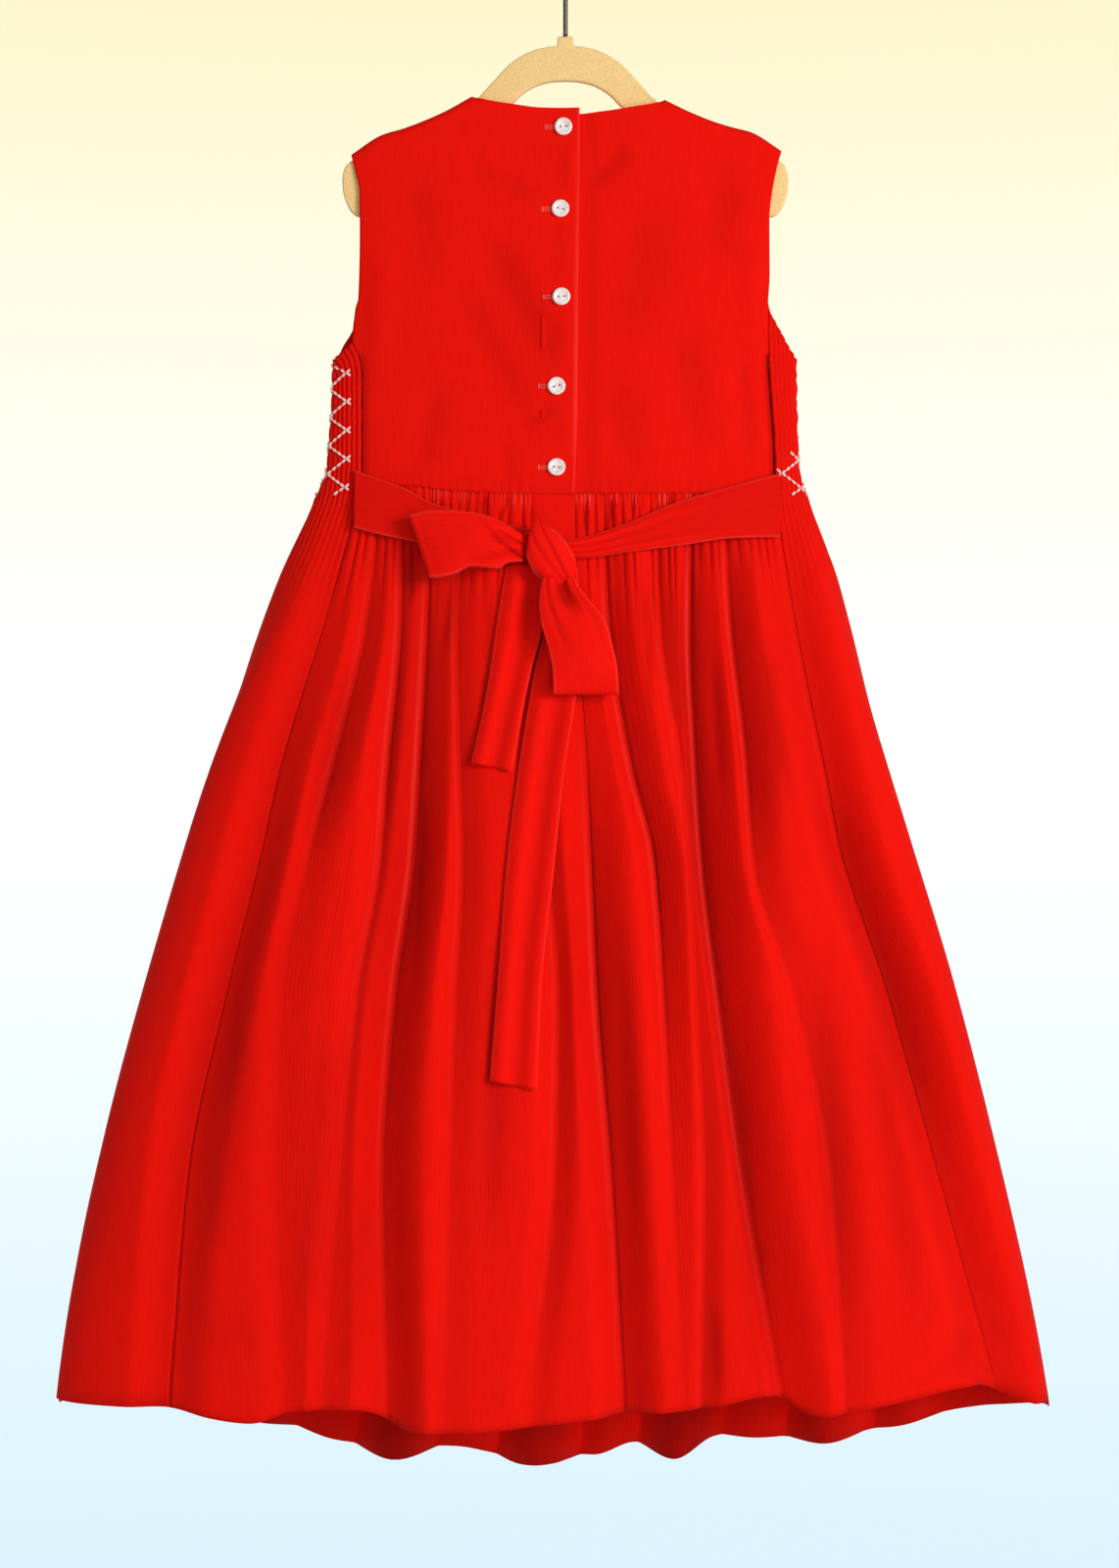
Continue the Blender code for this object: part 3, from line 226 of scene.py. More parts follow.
# Sash, tied in a bow at the centre back
Band = namedtuple("Band", "x high low")
LEFT_TIE = rows(
    Band, (-136.5, -348.5, -386.5), (-122, -354, -390.5), (-103, -361.5, -394.8), (-86, -371, -398),
    (-60, -379, -402), (-30, -387, -406), (-18, -389, -406.5),
)
RIGHT_TIE = rows(
    Band, (138.5, -350.5, -392.5), (108, -359.6, -393.6), (74, -369.6, -398.6), (40, -384, -403),
    (10, -394, -407), (-4, -396, -407),
)
TIE_FOLD = 1.1  # half the height of the solid's folds
TIE_FOLD_SLACK = 0.4  # the look's folds stand at most this much higher
TIE_SHADE = 0.45  # between the folds
TIE_CLEAR = 0.7  # the tie stands this much further off where the cloth turns in at the side seam
KNOT_PLACE = (-10.4, -404.6)
LEFT_LOOP = rows(
    Band, (-27, -394, -409.8), (-37, -387.5, -410.9), (-43, -384, -414.1), (-60, -379, -413.3),
    (-70, -378, -417.5), (-86, -377.6, -421), (-100, -380.6, -423),
)
LEFT_LOOP_LEAN = 13.9  # the loop's end leans this far across from its top to its bottom
Fall = namedtuple("Fall", "z left right")
RIGHT_LOOP = rows(
    Fall, (-415, -11, 3), (-426.4, -15.5, 8), (-438, -16.5, 17), (-449, -15.5, 25.3), (-464, -11.3, 29.5),
    (-480, -8.2, 32.8), (-494.5, -7.6, 33.8),
)
LOOP_STAND = 7.5  # a loop's middle lies this far off the layers of the sash behind it
RIGHT_LOOP_MIDDLE_X = 5
LOOP_TURN = 4.5  # radius of the fold at a loop's end
LOOP_SWELL = 7
LOOP_FULLNESS = 0.8
SHORT_TAIL = rows(
    Fall, (-411, -38, -16), (-430, -41, -13), (-448, -43.7, -14.5), (-480, -48, -22.4),
    (-510, -53.2, -28.6), (-541, -60, -34),
)
LONG_TAIL = rows(
    Fall, (-411, -13.5, 7), (-440, -12, 9), (-484, -20.6, 7.5), (-540, -29.6, -0.5), (-609, -37.9, -8),
    (-678, -42.8, -15.5), (-742, -47.8, -18.1),
)
TAIL_FOLD = 1.6  # half the height of a tail's fold
TAIL_SHADE = 0.4
TAIL_FOLDS = 1.5
TAIL_FOLD_DRIFT = 0.15
TAIL_END_SLOPE = 0.2  # the tails are cut a little askew

# Buttons, hanger and hook
Button = namedtuple("Button", "x z")
BUTTONS = rows(
    Button, (-1.3, -124.9), (-3.2, -178.7), (-2.6, -236.3), (-5.7, -294.6), (-5.7, -347.5),
)
BUTTON_RADIUS = 5.75
BUTTON_TURNING = (
    (0, 0), (3.4, 0), (4.6, 0.3), (5.4, 0.8), (5.75, 1.3), (5.7, 1.75), (5.4, 2.15), (5.0, 2.35), (4.6, 2.4),
    (4.25, 2.25), (4.0, 1.85), (3.8, 1.75), (3.55, 1.8), (3.3, 1.65), (2.6, 1.45), (1.5, 1.38), (0, 1.35),
)
BUTTON_STEPS = 40
BUTTON_SHARP = math.radians(40)  # edges that turn by more than this stay sharp
BUTTON_HOLE = 0.75
BUTTON_HOLE_APART = 1.9
HOLE_SIDES = 20
HOLE_DEPTH = 8  # of the cutter
BUTTON_TURNS = (0.1, -0.25, 0.05, 0.3, -0.1)
BUTTONHOLE_REACH = 11
BUTTONHOLE_STITCHES = 20
BUTTONHOLE_THREAD = 0.55
STITCH_LIFT = 0.1  # the stitches lie this far off the cloth, and the bar as far again
SLIT_HALF = 0.15  # the stitches run from here, beside the slit,
STITCH_HALF = 1.5  # to here
BAR_HALF = 1.8
BAR_PLACES = (0.45, 0.9)  # the bar's two threads lie this far beyond the slit's end
SEWING_THREAD = 0.3
SEWING_FACES = (8, 6)  # round a thread and along it
SEWING_APART = 0.16
SEWING_HIGH = 1.55
HANGER_THICKNESS = 6
HANGER_ROUND = 1.6
HANGER_TOP = rows(
    Mark, (10.5, -70.5), (20.2, -72.8), (29.3, -77), (38, -83.4), (48, -94.2), (61, -107.2), (80, -116.2),
    (105, -127), (120, -132), (138, -144), (143.5, -149), (145.5, -157),
)
HANGER_BOTTOM = rows(
    Mark, (144.5, -168), (140, -178), (133, -181.5), (122, -176), (100, -157), (75, -139.5), (52, -124),
    (36, -109.4), (29, -102.3), (20, -96.6), (10, -93.7), (0, -93),
)
BOSS_FOOT = (5.6, -69.8)
BOSS_TOP = (4.4, -64)
HANGER_STEPS = 5
HANGER_SHARP = math.radians(50)
HOOK_WIRE = 1.6
HOOK_INSIDE = 17
HOOK_OPEN_ANGLE = math.radians(215)
HOOK_STEPS = 90
STEM_STEPS = 10
TIP_STEPS = 6  # the wire rounds off over this many steps
TIP_ROUND = 0.95  # of a half ball, which leaves a small flat end
WIRE_SIDES = 20

# Sash and knot, as fine cloth
SASH_THICK = 1.4
TIE_WIDTH = 34  # the finished sash, a tube pressed flat
TIE_LENGTH_STEPS = 110
TIE_WIDTH_STEPS = 36
# A tie's fold runs from start, a share down the tie at the seam, to end, down it at the knot.
TieFold = namedtuple("TieFold", "start end width high begins")
LEFT_TIE_FOLDS = rows(
    TieFold, (0.3, 0.22, 0.1, 1.7, 0.0), (0.62, 0.5, 0.09, 1.9, 0.15), (0.88, 0.8, 0.08, 1.6, 0.35),
)
RIGHT_TIE_FOLDS = rows(
    TieFold, (0.25, 0.2, 0.1, 1.8, 0.05), (0.55, 0.55, 0.09, 1.7, 0.3), (0.85, 0.84, 0.08, 1.9, 0.0),
)
LOOP_STEPS = 56
LOOP_BEND_STEPS = 12
LOOP_WIDTH_STEPS = 40
LOOP_FAN = 0.9
LOOP_FAN_BEGINS = 0.08
LOOP_BELLY_ROUND = 0.7
LOOP_SHADE = 0.1
# How full a loop is at its edges, and the waves that fan out from the knot, with the shares at which they end
LoopForm = namedtuple("LoopForm", "edge waves phase fades flat")
LEFT_LOOP_FORM = LoopForm(0.4, 2.5, 0.6, 0.05, 0.6)
RIGHT_LOOP_FORM = LoopForm(0.35, 1.5, 1.2, 0.1, 0.65)
LOOP_GRAIN = 70  # mm of cloth along each of a loop's two layers
# A loop's crease runs from start, a share across the loop at the knot, to end, which lies at ends along it.
LoopCrease = namedtuple("LoopCrease", "start end ends width depth")
LEFT_LOOP_CREASES = rows(
    LoopCrease, (0.88, 0.0, 0.5, 0.1, 2.6), (0.35, 0.2, 0.35, 0.08, 1.6), (0.6, 0.95, 0.7, 0.07, 1.2),
)
RIGHT_LOOP_CREASES = rows(
    LoopCrease, (0.55, 0.6, 0.42, 0.2, 4.5), (0.12, 0.3, 0.8, 0.06, 1.3), (0.9, 0.82, 0.7, 0.06, 1.2),
)
TAIL_STEP = 2.5
TAIL_WIDTH_STEPS = 30
CLOTH_OVER = SOLID_CLOTH / 2 + LAY_GAP + SOLID_SASH / 2
EDGE_HIGHLIGHT = 0.25  # painted highlight: how pale pink the sash's long edges are painted
EDGE_HIGHLIGHT_WIDTH = 0.05  # as a share of the sash's width
KNOT_SLANT = math.radians(26)
KNOT_HALF = (22, 9.5, 13)  # along the wrap, in depth and along the axis of the band
KNOT_TAPER = (0.55, 0.15)  # the band is this much narrower at its top and at its bottom
KNOT_OPEN = 0.86  # where the band's edges stop, on their way to closing at 1
KNOT_TURNS = 97
KNOT_STEPS = 45
KNOT_BARREL = 2.6  # how full the band is across, up to its edges
KNOT_TWIST = 1.2  # mm by which the band strays from side to side on its way round
KNOT_ROUND = 0.8
KNOT_TAPER_CURVE = (1.5, 2)
KNOT_GAPS = 2.5  # the knot stands off the layers behind it by this many gaps
KNOT_SHADE_DEPTH = 2.5
KnotCrease = namedtuple("KnotCrease", "start end width high")
KNOT_CREASES = rows(
    KnotCrease, (-0.5, -0.1, 0.14, 0.8), (0.35, 0.15, 0.12, 1.1),
)

# Embroidery
FRONT_SMOCK_ROWS = 41
FRONT_FINE_ROWS = 63
STITCH_THICK = 1.9
BEAD_SIDES = 6  # each stitch is a small bead of thread
BEAD_RINGS = 4
BEAD_ROUND = 0.7  # how blunt its ends are
STITCH_LENGTH = 0.52  # half of it, as a share of the way from one pleat to the next
STITCH_SHIFT = 0.14  # the pattern begins this share of a cell beyond the left side seam
STITCHED_FROM = 0.2  # and the first stitches lie here, counted in cells
STITCHED_TO = ((-318, 13.0), (-333, 13.6), (-345, 13.95))  # heights, and how far round the last ones lie
STITCH_ROWS = (-2, 5)
STITCH_INSET = 1.2
STITCH_RISE = 0.3  # a stitch's middle lies this share of its thickness off the pleats

# Yoke
YOKE_NECK_COLUMNS = 60
YOKE_SHOULDER_COLUMNS = 22

# Cuts of the ties as they lie flat, in metres, of what is modelled
TIE_LENGTHS = (0.118, 0.142)

# Stage
BOWL_RADIUS = 4.2
BOWL_BEND = 1.0
BOWL_FLOOR = -2.0
BOWL_TOP = 3.2
BOWL_ANGLES = np.radians(np.linspace(0, 90, 13))
BOWL_SIDES = 96
BACKDROP_GLOW = (0.3, 0.9)  # in front of the dress and behind it
BACKDROP_GLOW_Y = (0.3, 3.2)
BACKDROP_SHADE = 0.25  # the backdrop's own colour is this dark, so that it throws little light about
BACKDROP_TONES_Z = (-2.0, 1.1)  # from its low tone to its high one
WORLD_LIGHT = 0.3
Lamp = namedtuple("Lamp", "name at size power colour")
LIGHTS = rows(
    Lamp, ("key", (1.7, -2.3, 0.0), 1.1, 49, (1, 0.95, 0.93)),
    ("fill", (0.7, -2.8, -1.2), 2.0, 20, (1, 0.95, 0.98)), ("back", (-0.8, 2.4, 0.8), 1.8, 15, (1, 1, 1)),
)

# Fine cloth. The solids have the same forms with fewer rows and columns.
PANEL_STEP = 1.7  # mm between the rows and columns of the bodice
CLOTH_THICK = 1.1
SMOCKED_THICK = 0.7
SHOULDER_STEPS = (0.972, 0.979, 0.985, 0.99, 0.994, 0.997, 0.999, 1)
NECK_BEND = 5  # the cloth bends off the hanger within this distance of a neck point
COLUMNS_A_GATHER = 10
FLAT_COLUMNS = 24  # beside the placket, where the cloth has no gathers
LEFT_SKIRT_CUT = (0.316, 0.592)
RIGHT_SKIRT_CUT = (0.275, 0.592)
RIPPLE_HEIGHT = 0.5  # of the fine streaks that the gathering threads leave at the seam
GATHER_UNEVEN = 0.22  # a gather's edges stray by up to this share of its width
GATHER_DEPTHS = (0.7, 1.6)  # of the valleys between gathers, against their crests
GATHER_LENGTHS = (45, 120)
GATHER_AT_SEAM = 0.2  # a gather begins with this share of its height
GATHER_RISES = (1, 20)  # and has all of it this far below the seam
GATHER_FADES_FROM = 12
GATHER_ROUND = 0.8  # a crest is a little flatter than half a wave
SKIRT_NEAR = (0.12, 36)  # down to this share of the skirt, this many rows lie close together
SKIRT_ROWS = 92  # from there to the hem
SHADE_DEPTH = 46  # a trough this deep is fully in shade
SHADE_CURVE = 1.5
PRESSED_SHADE_DEPTH = 6
GATHER_SHADE = 0.2
LINE_SHADE = 1.3
CREST_HIGHLIGHT = 0.3  # painted highlight, pale pink, on the crest beside a fold
STREAK_HIGHLIGHT = 0.8  # and on the crests of the fine streaks at the seam
STREAK_FINE = 4  # how much narrower a streak is than its ripple
STREAK_FADES_FROM = 3
RIPPLE_FADE_FROM = 5
PLEATS_PER_CELL = 8  # twice as many as in the solid, at half the spacing
COLUMNS_A_PLEAT = 4
PLEAT_SHADE = 0.25
FOLD_SHADE_DEPTH = 26
FRONT_ROWS_CLOSER = 1.15  # the rows below the smocking lie closer together at its end

# Creases, each a line from its high end to its low end, how wide and how deep it is.
# A negative depth is a soft ridge.
Crease = namedtuple("Crease", "x_high z_high x_low z_low width depth")
LEFT_BACK_CREASES = rows(
    Crease, (-68, -149, -21, -171, 8, 1.1), (-53, -196, -11, -281, 13, 1.7),
    (-70, -228, -24, -322, 12, 1.2), (-100, -150, -92, -230, 14, 0.9), (-118, -205, -122, -290, 9, -0.8),
    (-8, -309, -31, -319, 4.5, 1.0), (-84, -290, -96, -352, 10, 0.9), (4, -136, 3, -168, 5, -0.8),
    (2, -190, 1, -226, 7, -0.6), (1, -246, 0, -286, 7, -0.6), (0, -303, -1, -338, 6, -0.6),
    (-40, -330, -36, -362, 7, 0.7),
)
RIGHT_BACK_CREASES = rows(
    Crease, (40, -138, 14, -162, 8, 1.3), (104, -146, 96, -215, 13, 0.9), (58, -175, 34, -262, 16, 0.9),
    (121, -200, 123, -262, 8, -0.8), (74, -255, 88, -345, 13, 1.0), (30, -290, 44, -352, 11, 0.8),
    (112, -262, 118, -350, 7, 0.8),
)
YOKE_CREASES = rows(
    Crease, (-96, -150, -82, -230, 12, 1.0), (-52, -188, -30, -262, 11, 0.9), (8, -186, 4, -264, 14, 0.7),
    (60, -182, 38, -255, 12, 1.0), (99, -148, 88, -238, 12, 0.9),
)
CREASE_STRENGTH = 2.1
CREASE_BEGINS = (-0.12, 0.3)  # a crease comes in and dies away over these shares of its length
CREASE_FADES = (0.65, 1.12)
CREASE_SHADE = 14  # a crease that is pressed in this deep would be fully in shade
SIDE_ROLL = 6  # the bodice turns in towards the side seams over this width
SIDE_ROLL_DEPTH = (1.6, 2.6)  # by this much at the left and the right seam
PUCKER_PITCH = 4.1
PUCKER_HEIGHT = 0.45
PUCKER_LENGTH = 14
PUCKER_DRIFT = 9  # the puckers' spacing wanders over this much of the width
PUCKER_MIDDLE_X = -6
PUCKER_CLEAR = (12, 20)  # no puckers this near the placket's middle, and full ones beyond
PUCKER_SHADE = 0.1
LAP_HIGHLIGHT = 0.3  # painted highlight: how pale pink the free edge of the left half is painted
LAP_HIGHLIGHT_WIDTH = (0.2, 1.2)
LAP_HIGHLIGHT_REACH = 20
LAP_LEAN = 0.012  # the edge leans, x over z

LEFT_SKIRT_CREASES = rows(
    Crease, (-52, -364, -54, -381, 2.2, 3.0), (-38, -365, -41, -380, 2.0, 2.5),
    (-21.5, -366, -22, -385, 1.6, 1.2), (-96, -392, -103, -440, 4, 2.2), (-72, -410, -80, -470, 4, 2.0),
    (-50, -420, -52, -520, 5, 1.8), (-142, -470, -166, -600, 7, 2.2), (-92, -560, -96, -700, 6, 1.6),
    (-150, -700, -168, -900, 12, 1.8), (-205, -690, -232, -860, 10, 2.0), (-42, -640, -50, -850, 10, 2.4),
    (-130, -800, -138, -945, 8, 1.6), (-85, -760, -90, -940, 8, -1.4), (-292, -900, -255, -882, 9, 1.2),
    (-236, -905, -196, -893, 10, 0.9),
)
RIGHT_SKIRT_CREASES = rows(
    Crease, (13.4, -367, 11, -391, 2.2, 2.4), (29.4, -367, 28, -385, 2.0, 2.6),
    (43, -366, 44, -380, 1.8, 2.2), (68, -364, 67, -376, 1.8, 2.4), (93, -363, 92, -372, 1.8, 2.0),
    (50, -420, 54, -500, 4, 2.2), (72, -430, 76, -520, 4, 1.8), (96, -470, 102, -560, 4, 2.0),
    (128, -460, 140, -560, 6, 2.0), (36, -640, 44, -860, 7, 2.0), (110, -700, 122, -930, 9, 1.8),
    (160, -660, 178, -900, 11, 2.4), (196, -700, 224, -900, 10, 2.0), (92, -880, 96, -944, 5, 2.0),
    (258, -900, 250, -932, 8, 1.6),
)
HEM_DEPTH = 45  # the hem is turned up this far, which shows as a faint step
HEM_STEP = 0.35
HEM_STEP_HALF = 1.5  # the step is eased in over this far above and below

WEAVE_SEED = 11
WAVE_A_METRE = 0.314159  # the wave pattern's scale, over its pitch in metres
NOISE = "ShaderNodeTexNoise"
NAP_GRAINS_A_METRE = (900.0, 60.0, 1.0)  # across the grain and along it


def smooth(places, values, at):
    """Reads a table between its rows along a smooth curve that never overshoots a row."""
    places = np.asarray(places, float)
    values = np.asarray(values, float)
    if places[0] > places[-1]:
        places = places[::-1]
        values = values[::-1]
    gaps = np.diff(places)
    rises = np.diff(values) / gaps
    slopes = np.zeros_like(values)
    same = rises[1:] * rises[:-1] > 0
    mean = 2 * rises[1:] * rises[:-1] / np.where(same, rises[1:] + rises[:-1], 1)
    slopes[1:-1] = np.where(same, mean, 0)
    slopes[0] = rises[0]
    slopes[-1] = rises[-1]
    at = np.clip(np.asarray(at, float), places[0], places[-1])
    i = np.clip(np.searchsorted(places, at) - 1, 0, len(gaps) - 1)
    t = (at - places[i]) / gaps[i]
    ease = t * t * (3 - 2 * t)
    start = t * (1 - t) ** 2 * gaps[i] * slopes[i]
    end = t * t * (t - 1) * gaps[i] * slopes[i + 1]
    return values[i] * (1 - ease) + values[i + 1] * ease + start + end


def read(table, of, over, at):
    """Reads the column named by of in a table of rows, over the column named by over."""
    return smooth([getattr(row, over) for row in table], [getattr(row, of) for row in table], at)


def ramp(value, start, end):
    """Rises smoothly from 0 at start to 1 at end."""
    t = np.clip((np.asarray(value, float) - start) / (end - start), 0, 1)
    return t * t * (3 - 2 * t)


def outline_span(z):
    """The middle and half the width of the plain outline at a height."""
    left = read(SECTIONS, "left", "z", z)
    right = read(SECTIONS, "right", "z", z)
    return (left + right) / 2, (right - left) / 2


def outline_depth(x, z, face):
    """How far the plain outline of the dress stands from the hanger's plane, at a place and a height."""
    middle, half = outline_span(z)
    depth = read(SECTIONS, "back" if face == BACK else "front", "z", z)
    across = np.clip(np.abs((x - middle) / half), 0, 1)
    return depth * (1 - across**OUTLINE_SQUARE) ** (1 / OUTLINE_ROUND)


def outline_point(turn, z):
    """A point of the outline by its turn: 0 at the right side, 90 degrees in front, 270 at the back."""
    middle, half = outline_span(z)
    depth = np.where(np.sin(turn) > 0, read(SECTIONS, "front", "z", z), read(SECTIONS, "back", "z", z))
    cosine = np.cos(turn)
    sine = np.sin(turn)
    x = middle + half * np.sign(cosine) * np.abs(cosine) ** (2 / OUTLINE_SQUARE)
    y = depth * np.sign(sine) * np.abs(sine) ** (2 / OUTLINE_ROUND)
    return x, y


def back_turn(x, z):
    """The turn of a place on the back."""
    middle, half = outline_span(z)
    across = (x - middle) / half
    return 2 * math.pi - np.arccos(np.sign(across) * np.abs(across) ** (OUTLINE_SQUARE / 2))


def crumple(x, z, creases):
    """How far the creases press the cloth in at each place."""
    total = np.zeros_like(x)
    for crease in creases:
        run_x = crease.x_low - crease.x_high
        run_z = crease.z_low - crease.z_high
        length = math.hypot(run_x, run_z)
        along = ((x - crease.x_high) * run_x + (z - crease.z_high) * run_z) / length**2
        off = ((x - crease.x_high) * run_z - (z - crease.z_high) * run_x) / length
        ends = ramp(along, *CREASE_BEGINS) * (1 - ramp(along, *CREASE_FADES))
        total += crease.depth * np.exp(-((off / crease.width) ** 2)) * ends
    return total


def cloth_length(points, axis):
    """How far along the cloth each point of a grid lies, in mm."""
    steps = np.linalg.norm(np.diff(points, axis=axis), axis=2)
    pad = [(0, 0), (0, 0)]
    pad[axis] = (1, 0)
    return np.cumsum(np.pad(steps, pad), axis=axis)


def link(name, content, finish=None):
    """Puts a mesh, a lamp or a camera into the scene as an object, with its material."""
    if finish:
        content.materials.append(finish)
    thing = bpy.data.objects.new(name, content)
    bpy.context.scene.collection.objects.link(thing)
    return thing


def made_mesh(name, shape):
    """A mesh from a bmesh, which is then freed."""
    mesh = bpy.data.meshes.new(name)
    shape.to_mesh(mesh)
    shape.free()
    return mesh


def cloth_piece(name, points, grain, thick, finish, valley=0, worn=0):
    """A sheet of cloth on a grid of points, with its grain as its UV map and its wall from Solidify.

    Each point also carries how much shade is painted on it, most down in folds and creases, and how much pale
    pink highlight is painted on it, both from 0 to 1.
    """
    levels, columns = points.shape[:2]
    shape = bmesh.new()
    shape.loops.layers.uv.new("grain")
    bmesh.ops.create_grid(shape, x_segments=columns - 1, y_segments=levels - 1, size=1)
    mesh = made_mesh(name, shape)
    mesh.vertices.foreach_set("co", (points * MM).astype(np.float32).ravel())
    corners = np.zeros(len(mesh.loops), np.int32)
    mesh.loops.foreach_get("vertex_index", corners)
    flat = (grain.reshape(-1, 2) * MM)[corners]
    mesh.uv_layers["grain"].data.foreach_set("uv", flat.astype(np.float32).ravel())
    # painted shade and painted highlight, which the cloth's material mixes into its colour
    for label, value in (("valley", valley), ("worn", worn)):
        layer = mesh.attributes.new(label, "FLOAT", "POINT")
        value = np.clip(np.broadcast_to(value, (levels, columns)), 0, 1)
        layer.data.foreach_set("value", value.astype(np.float32).ravel())
    mesh.shade_smooth()
    thing = link(name, mesh, finish)
    wall = thing.modifiers.new("Wall", "SOLIDIFY")
    wall.thickness = thick * MM
    wall.offset = 0
    return thing


def place(thing, slot, *nodes):
    """Makes a piece ride with the dress and stand for its solids, which it hides. Its slot is not used."""
    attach(thing, BODY)
    if nodes:
        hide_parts(*nodes)
    return thing


def panel_rows(height):
    """Shares up a panel, close together where it bends over the shoulder."""
    count = int(height * SHOULDER_STEPS[0] / PANEL_STEP)
    return np.concatenate([np.linspace(0, SHOULDER_STEPS[0], count)[:-1], SHOULDER_STEPS])


def panel_grid(shares, top_x, top_z, levels, left_edge, right_edge, low_line, face, creases):
    """Points of a bodice panel, from its lower edge up to its top, and how much shade to paint in its
    creases, from how deep they are.
    """
    left_top = read(left_edge, "x", "z", top_z)
    right_top = read(right_edge, "x", "z", top_z)
    top_share = (top_x - left_top) / (right_top - left_top)
    low_x = left_edge[0].x + shares * (right_edge[0].x - left_edge[0].x)
    low_z = low_line(low_x)
    up = levels[:, None]
    z = low_z + (top_z - low_z) * up
    left = read(left_edge, "x", "z", z)
    right = read(right_edge, "x", "z", z)
    x = left + (shares + (top_share - shares) * up) * (right - left)
    pressed = CREASE_STRENGTH * crumple(x, z, creases)
    stand = outline_depth(x, z, face) - pressed
    below = np.clip((top_z - z) / SHOULDER_ROLL, 0, 1)
    roll = np.sqrt(1 - (1 - below) ** 2)
    off_neck = np.minimum(top_x - NECK_LEFT.x, NECK_RIGHT.x - top_x)
    roll = np.maximum(roll, ramp(off_neck, 0, NECK_BEND))
    depth = SHOULDER_EDGE + (stand - SHOULDER_EDGE) * roll
    return x, depth, z, np.clip(pressed / CREASE_SHADE, 0, 1)


def top_curve(tops, neck, count):
    """Places along a back panel's top edge: its shoulder and its neckline meet at the neck point."""
    x = np.linspace(tops[0].x, tops[-1].x, count)
    x = np.sort(np.append(x, tops[neck].x))
    one = read(tops[: neck + 1], "z", "x", x)
    other = read(tops[neck:], "z", "x", x)
    return x, np.where(x <= tops[neck].x, one, other)


def waist_line(x):
    """The lower edge of the bodice."""
    return read(WAIST, "z", "x", x) + WAIST_CLEAR


def yoke_line(x):
    """The lower edge of the yoke."""
    return YOKE_SEAM_Z + 0 * x


def back_bodice(finish):
    """The two halves of the back, softly creased, puckered at the waist and rolled in at the side seams."""
    left_edge = [Edge(row.z, row.x + SEAM_EDGE) for row in BACK_SIDE_LEFT]
    right_edge = [Edge(row.z, row.x - SEAM_EDGE) for row in BACK_SIDE_RIGHT]
    under_edge = [Edge(row.z, UNDERLAP_EDGE_X) for row in LAP_EDGE]
    left_half = (BACK_TOP_LEFT, LEFT_NECK_ROW, left_edge, LAP_EDGE, LEFT_BACK_CREASES)
    right_half = (BACK_TOP_RIGHT, RIGHT_NECK_ROW, under_edge, right_edge, RIGHT_BACK_CREASES)
    for name, (tops, neck, left, right, creases) in (
        ("back_left", left_half),
        ("back_right", right_half),
    ):
        is_left = name == "back_left"
        width = tops[-1].x - tops[0].x
        top_x, top_z = top_curve(tops, neck, int(width / PANEL_STEP))
        shares = (top_x - tops[0].x) / width
        levels = panel_rows(top_z.mean() - WAIST[0].z)
        x, depth, z, deep = panel_grid(shares, top_x, top_z, levels, left, right, waist_line, BACK, creases)
        seam = read(left_edge if is_left else right_edge, "x", "z", z)
        below_arm = 1 - ramp(z, YOKE_SEAM_Z, YOKE_SEAM_Z + SIDE_ROLL)
        roll_depth = SIDE_ROLL_DEPTH[0 if is_left else 1]
        roll = roll_depth * (1 - ramp(np.abs(x - seam), 0, SIDE_ROLL)) * below_arm
        above_waist = 1 - ramp(z - waist_line(x), 0, PUCKER_LENGTH)
        off_placket = ramp(np.abs(x - PUCKER_MIDDLE_X), *PUCKER_CLEAR)
        waves = np.sin(2 * np.pi * (x / PUCKER_PITCH + np.sin(x / PUCKER_DRIFT)))
        pucker = PUCKER_HEIGHT * above_waist * off_placket * waves
        depth = depth - roll + pucker
        if not is_left:
            depth -= UNDERLAP_DROP * (1 - ramp(x, *UNDERLAP_BLEND))
        points = np.stack([x, -depth, z], axis=2)
        grain = np.stack([x, z], axis=2)
        # Painted shade where the cloth rolls in at the side seams, along the puckered waist and in the
        # creases
        valley = roll / 3 + PUCKER_SHADE * above_waist + deep
        # A pale pink highlight painted along the lap's free edge
        off_edge = LAP_EDGE[0].x + LAP_LEAN * (z - LAP_EDGE[0].z) - x
        near_edge = (x > LAP_EDGE[0].x - LAP_HIGHLIGHT_REACH) * is_left
        worn = LAP_HIGHLIGHT * near_edge * (1 - ramp(off_edge, *LAP_HIGHLIGHT_WIDTH))
        piece = cloth_piece(name, points, grain, CLOTH_THICK, finish, valley, worn)
        place(piece, "corduroy", "back_bodice_left" if is_left else "back_bodice_right")


